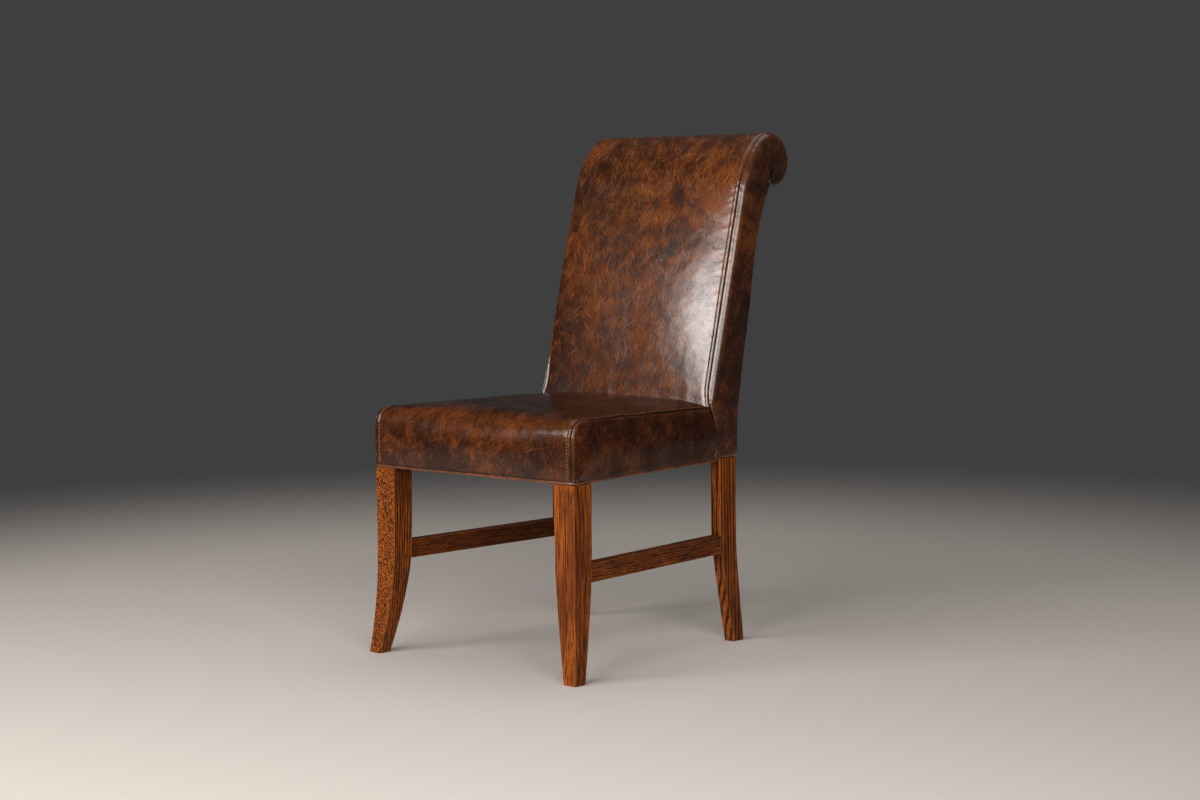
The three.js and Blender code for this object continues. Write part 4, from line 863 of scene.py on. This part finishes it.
def seat_sides():
    """Seat side panels, from their rolled top and front seam down to the welt."""
    edge = resample(seat_line(), 4.0)
    inward = -outward_of(edge)
    along = lengths_along(edge)
    share = along / along[-1]
    radius = np.full(len(edge), SEAT_ROLL)
    groove = groove_curve()
    foot = groove[-1]
    far_y = mix(SEAT_FRONT + SEAT_ROLL + 1.0, foot[0], share)
    far = np.stack([far_y, np.full_like(far_y, WELT_TOP - 2.0)], axis=1)

    def bow(shares):
        places = np.interp(shares, np.linspace(0, 1, len(groove)), np.arange(len(groove)))
        on_groove = np.stack([
            np.interp(places, np.arange(len(groove)), groove[:, i]) for i in range(2)
        ], axis=1)
        straight = groove[0] + (foot - groove[0]) * shares[:, None]
        weight = smooth((share - 0.55) / 0.45)
        return (on_groove - straight)[None, :, :] * weight[:, None, None]

    def relief(run, from_seam, from_far, places):
        rear = (1 - run / run.max()) * along[-1]
        at_rear = seam_dip(rear, 5.0, 6.0)
        hem = -1.6 * np.exp(-from_far / 3.0)
        return np.where(from_seam > 9, at_rear, at_rear * from_seam / 9) + hem

    # Painted shade in the groove at the rear seam and along the bottom edge against the welt.
    def groove_shade_mark(run, from_far, places):
        rear = (1 - run / run.max()) * along[-1]
        return np.maximum(np.clip(1 - rear / 3.5, 0, 1), 0.7 * np.exp(-from_far / 1.5))

    turn = SEAT_FRONT_TOP - SEAT_CORNER - WELT_TOP + 12
    details = {
        "start": lambda line: np.zeros(len(line)), "lip": lambda run, from_far: 0.0 * run,
        "shade": 0.25, "bow": bow, "dome": SIDE_BULGE, "relief": relief, "groove": groove_shade_mark,
        "pucker": lambda s: 0.25 + 0.8 * np.exp(-((s - turn) / 26) ** 2),
        "wear_and_highlight": lambda s: 0.35 + 0.5 * np.exp(-((s - turn) / 30) ** 2),
    }
    side_panel(
        "seat_leather_side", edge, inward, radius, seat_half, far, 31,
        "seat_cover_side", details, seat_leather,
    )


def back_sides():
    """Back side panels: up the front edge and round the scroll, whose end folds inward."""
    groove = groove_curve()[::-1]
    low = groove[groove[:, 1] < SEAT_REAR_TOP - 1]
    high = back_front(SEAT_REAR_TOP + 1, math.radians(4))
    edge = resample(np.concatenate([low, high]), 2.0)
    edge = softened(edge, 12)[::2]
    inward = -outward_of(edge)
    along = lengths_along(edge)
    radius = back_roll(edge[:, 1], edge[:, 0] < 520)
    rear = rear_curve()[::-1]
    rear_length = lengths_along(rear)
    start = int(np.argmax(edge[:, 1] > NECK_FOOT[1] + 60))
    strip = along[:start + 1] / along[start]
    strip_far = np.stack([
        np.interp(strip * rear_length[-1], rear_length, rear[:, i]) for i in range(2)
    ], axis=1)
    fold_end = SCROLL_CENTRE + np.array([6.0, -4.0])
    wound = np.linspace(0, 1, len(edge) - start)[1:]
    fold = CREASE + (fold_end - CREASE) * (wound ** 1.3)[:, None]
    far = np.concatenate([strip_far, fold])
    winding = np.concatenate([np.zeros(start + 1), wound])

    def relief(run, from_seam, from_far, places):
        turn = winding[:, None]
        valley = -1.8 * np.exp(-(from_far / 5.0) ** 2) * smooth(turn * 6) * smooth((1 - turn) * 3)
        to_end = (1 - run / run.max()) * along[-1]
        length = np.linalg.norm(places[..., 1:] - fold_end, axis=2)
        lip = np.where(turn > 0.9, 2.4 * np.exp(-(to_end / 9.0) ** 2), 0.0) * smooth(length / 18)
        rear_edge = np.where(turn <= 0, -REAR_ROLL * (1 - np.sqrt(np.clip(
            1 - np.clip(1 - from_far / REAR_ROLL, 0, 1) ** 2, 0, 1))), 0.0)
        return (valley + lip + rear_edge) * smooth(from_seam / 8)

    # Painted shade in the scroll end's fold and along the rear seam.
    def groove_shade_mark(run, from_far, places):
        turn = winding[:, None]
        fold_shade = np.exp(-(from_far / 2.2) ** 2) * smooth(turn * 6) * smooth((1 - turn) * 4)
        seam_shade = np.where(turn <= 0, np.clip(1 - from_far / 1.2, 0, 1), 0.0)
        return np.maximum(0.85 * fold_shade, seam_shade)

    # Painted highlight: a lighter line along the lip of the scroll end's fold.
    def lip(run, from_far):
        turn = winding[:, None]
        return 1.6 * np.exp(-((from_far - 4.5) / 2.2) ** 2) * smooth(turn * 6) * smooth((1 - turn) * 3)

    details = {
        "start": lambda line: far_turn(line[:, 1], line[:, 0] < 520), "lip": lip,
        "shade": 0.0, "bow": lambda shares: 0.0, "dome": 1.2, "relief": relief, "groove": groove_shade_mark,
        "pucker": lambda s: 0.10 + 0.35 * np.exp(-((s - 95) / 30) ** 2) + 0.25 * smooth((s - 520) / 60),
        "wear_and_highlight": lambda s: 0.55 + 0.0 * s,
    }
    side_panel(
        "back_leather_side", edge, inward, radius, lambda y: np.full_like(y, BACK_HALF), far, 41,
        "back_cover_side", details, side_leather,
    )


def back_outside():
    """Outside back: one panel from under the scroll down to the welt."""
    line = resample(rear_curve(), 5.0)
    outward = outward_of(line)
    along = lengths_along(line)
    width = 2 * (BACK_HALF - REAR_ROLL + 1.5)
    x = edge_columns(width, 6.0)
    share = x / (width / 2)
    push = OUTSIDE_BULGE * np.sin(math.pi * along / along[-1])[:, None] * edge_fade(share)[None, :]
    side_view = line[:, None, :] + outward[:, None, :] * push[..., None]
    across = np.broadcast_to(x, push.shape)
    places = np.stack([across, side_view[..., 0], side_view[..., 1]], axis=2)
    hint = np.stack([np.zeros_like(along), outward[:, 0], outward[:, 1]], axis=1)[:, None, :]
    from_edge = width / 2 - np.abs(across)
    run = np.broadcast_to(along[:, None], push.shape)
    to_hem = along[-1] - run
    puckers = ripple(run + 0.3 * from_edge, 22, 61) * np.exp(-from_edge / 16)
    relief = (
        seam_dip(from_edge, 3.0, 3.0) + 0.3 * puckers + 0.6 * swell(across, run, 140, 62)
        - 1.4 * np.exp(-to_hem / 3.0)
    )
    marks = {
        # Painted shade along the side seams and at the hem
        "groove": np.maximum(np.clip(1 - from_edge / 1.4, 0, 1), 0.7 * np.exp(-to_hem / 1.5)),
        "wear_and_highlight": 0.4 * np.exp(-((from_edge - 4.0) / 3.0) ** 2),
    }
    flat = np.stack([across, run], axis=2)
    piece, _, _ = panel("back_leather_outside", places, hint, flat, relief, rear_leather, marks)
    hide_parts("back_cover_outside", "outside_back_padding")


# Stitches
def stitch_row(name, points, normals):
    """A row of short threads along a line, its needle holes as dark discs of painted shadow."""
    along = lengths_along(points)
    count = int(along[-1] // STITCH_PITCH)
    random = np.random.default_rng(len(points) + count)
    centres = (np.arange(count) + 0.5) * STITCH_PITCH
    at = np.stack([np.interp(centres, along, points[:, i]) for i in range(3)], axis=1)
    before = np.stack([np.interp(centres - 2, along, points[:, i]) for i in range(3)], axis=1)
    after = np.stack([np.interp(centres + 2, along, points[:, i]) for i in range(3)], axis=1)
    up = np.stack([np.interp(centres, along, normals[:, i]) for i in range(3)], axis=1)
    ahead = after - before
    ahead /= np.linalg.norm(ahead, axis=1, keepdims=True)
    aside = np.cross(up, ahead)
    aside /= np.linalg.norm(aside, axis=1, keepdims=True)
    rings = np.linspace(-1, 1, 7)
    sides = np.linspace(0, 2 * math.pi, 7)[:-1]
    thread_at = []
    thread_faces = []
    pattern = grid_faces(len(rings), len(sides), around=True)
    for i in range(count):
        lean = random.uniform(-0.08, 0.08)
        for ring in rings:
            size = THREAD_RADIUS * math.sqrt(max(0.02, 1 - abs(ring) ** 3))
            lift = 0.25 - 0.75 * abs(ring) ** 3
            middle = at[i] + (ahead[i] + lean * aside[i]) * ring * STITCH_LENGTH / 2 + up[i] * lift
            for turn in sides:
                thread_at.append(middle + size * (math.cos(turn) * aside[i] + math.sin(turn) * up[i]))
        thread_faces.append(pattern + i * len(rings) * len(sides))
    piece = make_piece(name, np.array(thread_at), np.concatenate(thread_faces), stitch_thread)
    # Painted shadow: each needle hole is a small near-black disc.
    hole_at = []
    hole_faces = []
    for i in range(count):
        for end in (-1, 1):
            middle = at[i] + ahead[i] * end * STITCH_PITCH / 2 * 0.86 + up[i] * 0.05
            base = len(hole_at)
            for turn in sides:
                hole_at.append(middle + HOLE_RADIUS * (math.cos(turn) * aside[i] + math.sin(turn) * ahead[i]))
            hole_at.append(middle + up[i] * 0.12)
            hole_at.append(middle - up[i] * 0.6)
            for j in range(6):
                hole_faces.append([base + j, base + (j + 1) % 6, base + 6])
                hole_faces.append([base + (j + 1) % 6, base + j, base + 7])
    holes = make_piece(name + "_holes", np.array(hole_at), np.array(hole_faces), needle_hole_shadow)
    return piece, holes


def stitch_column(columns, raised, normals, side, rows=slice(None)):
    """The places and normals of a panel along its stitch line on one side."""
    edge = columns[0].max() if side > 0 else columns[0].min()
    j = int(np.argmin(np.abs(columns[0] - edge + side * STITCH_INSET)))
    return raised[rows, j], normals[rows, j]


# Welt
def welt_line():
    """The welt's centre line round the bottom edge, stepping up over the rear legs."""
    low = SEAT_BOTTOM + WELT_RADIUS + FIT_GAP
    high = POST_SHOULDER + WELT_RADIUS + FIT_GAP
    front = SEAT_FRONT + WELT_RADIUS
    rear = REAR_FACE - WELT_RADIUS
    back_x = BACK_HALF - WELT_RADIUS
    step_start = SEAT_REAR + 3 * WELT_RADIUS
    step_run = 3 * WELT_RADIUS

    def side_x(y):
        return seat_half(y) - WELT_RADIUS

    def turn(x, y, start, z):
        angles = start + np.linspace(0, math.pi / 2, 10)
        return [[x + WELT_CORNER * math.cos(a), y + WELT_CORNER * math.sin(a), z] for a in angles]

    half = [[0, front, low]]
    half += turn(side_x(front) - WELT_CORNER, front + WELT_CORNER, -math.pi / 2, low)
    half += [[side_x(y), y, low] for y in np.linspace(front + 30, step_start - step_run, 12)]
    for share in np.linspace(0, 1, 10):
        y = step_start + share * step_run
        rise = float(smooth(share))
        half.append([mix(side_x(y), back_x, rise), y, mix(low, high, rise)])
    half += turn(back_x - WELT_CORNER, rear - WELT_CORNER, 0.0, high)
    half.append([0, rear, high])
    half = np.array(half, dtype=float)
    other = half[1:-1][::-1] * np.array([-1, 1, 1])
    return np.concatenate([half, other, half[:1]])


def welt():
    """The leather-covered cord along the bottom edge of the cover."""
    line = resample(welt_line(), 2.5)[:-1]
    ahead = np.roll(line, -1, axis=0) - np.roll(line, 1, axis=0)
    ahead /= np.linalg.norm(ahead, axis=1, keepdims=True)
    aside = np.cross(ahead, np.array([0.0, 0.0, 1.0]))
    aside /= np.linalg.norm(aside, axis=1, keepdims=True)
    above = np.cross(aside, ahead)
    along = np.arange(len(line)) * 2.5
    turns = np.linspace(0, 2 * math.pi, 17)[:-1]
    uneven = 0.10 * ripple(along, 45, 71)[:, None] + 0.06 * ripple(along, 9, 72)[:, None]
    radius = WELT_RADIUS - 0.15 + uneven * np.ones_like(turns)[None, :]
    places = (
        line[:, None, :]
        + aside[:, None, :] * (radius * np.cos(turns))[..., None]
        + above[:, None, :] * (radius * np.sin(turns))[..., None]
    )
    rows, columns = places.shape[:2]
    faces = grid_faces(rows, columns, around=True)
    last = (rows - 1) * columns
    closing = np.stack([
        last + np.arange(columns), last + (np.arange(columns) + 1) % columns,
        (np.arange(columns) + 1) % columns, np.arange(columns),
    ], axis=1)
    faces = np.concatenate([faces, closing])
    outward = places - line[:, None, :]
    faces = face_the_right_way(faces, places, outward)
    run = np.broadcast_to(along[:, None], radius.shape)
    flat = np.stack([turns[None, :] * WELT_RADIUS + 0 * run, run], axis=2)
    over = np.sin(turns)[None, :] * np.ones((rows, 1))
    # Painted shade along the welt's top, against the cover
    marks = {"groove": 0.8 * np.clip((over - 0.8) / 0.2, 0, 1), "wear_and_highlight": 0.6 * np.exp(-((over - 0.1) / 0.5) ** 2)}
    piece = make_piece(
        "bottom_welt_leather", places.reshape(-1, 3), faces, welt_leather,
        flat.reshape(-1, 2), {k: v.ravel() for k, v in marks.items()},
    )
    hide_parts("bottom_welt")


back_columns, back_raised, back_normals = back_inside()
seat_columns, seat_raised, seat_normals = seat_top_front()
seat_sides()
back_sides()
back_outside()
welt()
for side, word in ((1, "left"), (-1, "right")):
    visible = slice(12, back_raised.shape[0] - 8)
    stitch_row(
        f"back_stitches_{word}", *stitch_column(back_columns, back_raised, back_normals, side, visible),
    )
    stitch_row(
        f"seat_stitches_{word}",
        *stitch_column(seat_columns, seat_raised, seat_normals, side, slice(1, seat_raised.shape[0] - 4)),
    )

# Wood, cloth and steel of the frame
stained_parts = {
    "front_leg_left": ("Z", (0.9, 0.35, 0), 0.0046, (0.13, 0.07, 0.0), 0.00, 0.45, 0.0),
    "front_leg_right": ("Z", (0.15, 1.0, 0), 0.0062, (0.61, 0.27, 0.3), 0.02, 0.95, 0.95),
    "rear_post_left": ("Z", (0.55, 0.85, 0), 0.0080, (1.13, 0.57, 0.6), 0.04, 0.90, 0.0),
    "rear_post_right": ("Z", (0.4, 0.9, 0), 0.0070, (1.71, 0.83, 0.9), 0.0, 0.7, 0.0),
    "stretcher_left": ("Y", (0.2, 1.0, 0), 0.0052, (2.13, 1.07, 0.2), -0.10, 0.6, 0.0),
    "stretcher_right": ("Y", (0.3, 1.0, 0), 0.0050, (2.61, 1.27, 0.4), -0.14, 0.7, 0.0),
}


def dress(names, material):
    """Gives CAD nodes their material."""
    for name in names:
        node = frame["nodes"][name]
        node.data.materials.clear()
        node.data.materials.append(material)


for name, settings in stained_parts.items():
    dress([name], wood(name.replace("_", " "), *settings))

frame_materials = {
    "frame_wood": wood("frame wood", "Y", (0.6, 0.8, 0), 0.0060, (3.0, 1.0, 0.0), 0.4, 0.15),
    "foam": foam("cut foam"),
    "webbing": cloth("jute webbing", (0.42, 0.33, 0.20, 1), 0.004),
    "backing": cloth("backing cloth", (0.50, 0.43, 0.32, 1), 0.003),
    "dust_cloth": cloth("dust cloth", (0.022, 0.022, 0.024, 1), 0.0016),
    "steel": steel("plated screws"),
    "leather": side_leather,
    "welt_leather": welt_leather,
}
for part in frame["record"]["subparts"]:
    if part["material_slot"] in frame_materials:
        dress([part["node"]], frame_materials[part["material_slot"]])

# Floor, light and camera
FLOOR_RADIUS = 30.0
PALE = (0.67, 0.605, 0.550, 1)
BACKDROP = (0.050, 0.050, 0.051, 1)


def pale_floor():
    """A plain pale floor that fades into the backdrop well away from the chair."""
    count = 96
    turns = np.linspace(0, 2 * math.pi, count + 1)[:-1]
    ring = np.stack([np.cos(turns), np.sin(turns), 0 * turns], axis=1) * FLOOR_RADIUS
    mesh = bpy.data.meshes.new("floor")
    mesh.from_pydata(ring.tolist(), [], [list(range(count))])
    floor = bpy.data.objects.new("floor", mesh)
    bpy.context.scene.collection.objects.link(floor)
    shader = Shader("pale floor")
    place = shader.add("TexCoord", out=3)
    away = shader.add("VectorMath", {0: place}, out=1, operation="LENGTH")
    surface = shader.add("BsdfPrincipled", {"Base Color": PALE, "Roughness": 0.8})
    clear = shader.add("BsdfTransparent")
    fade = shader.between(away, 1.35, 3.3)
    mixed = shader.add("MixShader", {0: fade, 1: surface, 2: clear})
    shader.tree.links.new(mixed, shader.output.inputs["Surface"])
    mesh.materials.append(shader.material)


def studio():
    """Plain soft grey surroundings."""
    world = bpy.data.worlds.new("studio")
    bpy.context.scene.world = world
    world.use_nodes = True
    tree = world.node_tree
    tree.nodes.clear()
    output = tree.nodes.new("ShaderNodeOutputWorld")
    soft = tree.nodes.new("ShaderNodeBackground")
    soft.inputs["Color"].default_value = BACKDROP
    soft.inputs["Strength"].default_value = 1.0
    tree.links.new(soft.outputs[0], output.inputs["Surface"])


def lamp(name, place, target, size, power, colour=(1, 1, 1)):
    light = bpy.data.lights.new(name, "AREA")
    light.shape = "RECTANGLE"
    light.size, light.size_y = size
    light.energy = power
    light.color = colour
    holder = bpy.data.objects.new(name, light)
    holder.location = place
    holder.rotation_euler = (Vector(target) - Vector(place)).to_track_quat("-Z", "Y").to_euler()
    bpy.context.scene.collection.objects.link(holder)


def camera():
    """The photograph's viewpoint: pitched down a little, with a shifted lens and a slight roll."""
    data = bpy.data.cameras.new("camera")
    data.sensor_width = 36.0
    data.lens = 72.066
    data.shift_y = -0.0506
    holder = bpy.data.objects.new("camera", data)
    turn = Matrix.Rotation(math.radians(41.368), 4, "Z")
    turn = turn @ Matrix.Rotation(math.radians(90.0 - 3.6), 4, "X")
    turn = turn @ Matrix.Rotation(-0.01048, 4, "Z")
    holder.matrix_world = Matrix.Translation((3.1217, -3.5172, 0.8932)) @ turn
    bpy.context.scene.collection.objects.link(holder)
    bpy.context.scene.camera = holder


pale_floor()
studio()
chair_middle = (0.0, 0.0, 0.5)
target = (0.0, 0.1, 0.66)
lamp("front softbox", (-0.10, -3.15, 1.80), target, (3.58, 0.78), 114, (1.0, 0.985, 0.97))
lamp("side softbox", (2.45, -1.95, 1.75), target, (1.5, 0.9), 38)
lamp("overhead", (0.0, 0.6, 3.4), chair_middle, (2.6, 2.6), 22)
camera()
bpy.context.scene.view_settings.view_transform = "Standard"

bpy.context.view_layer.update()
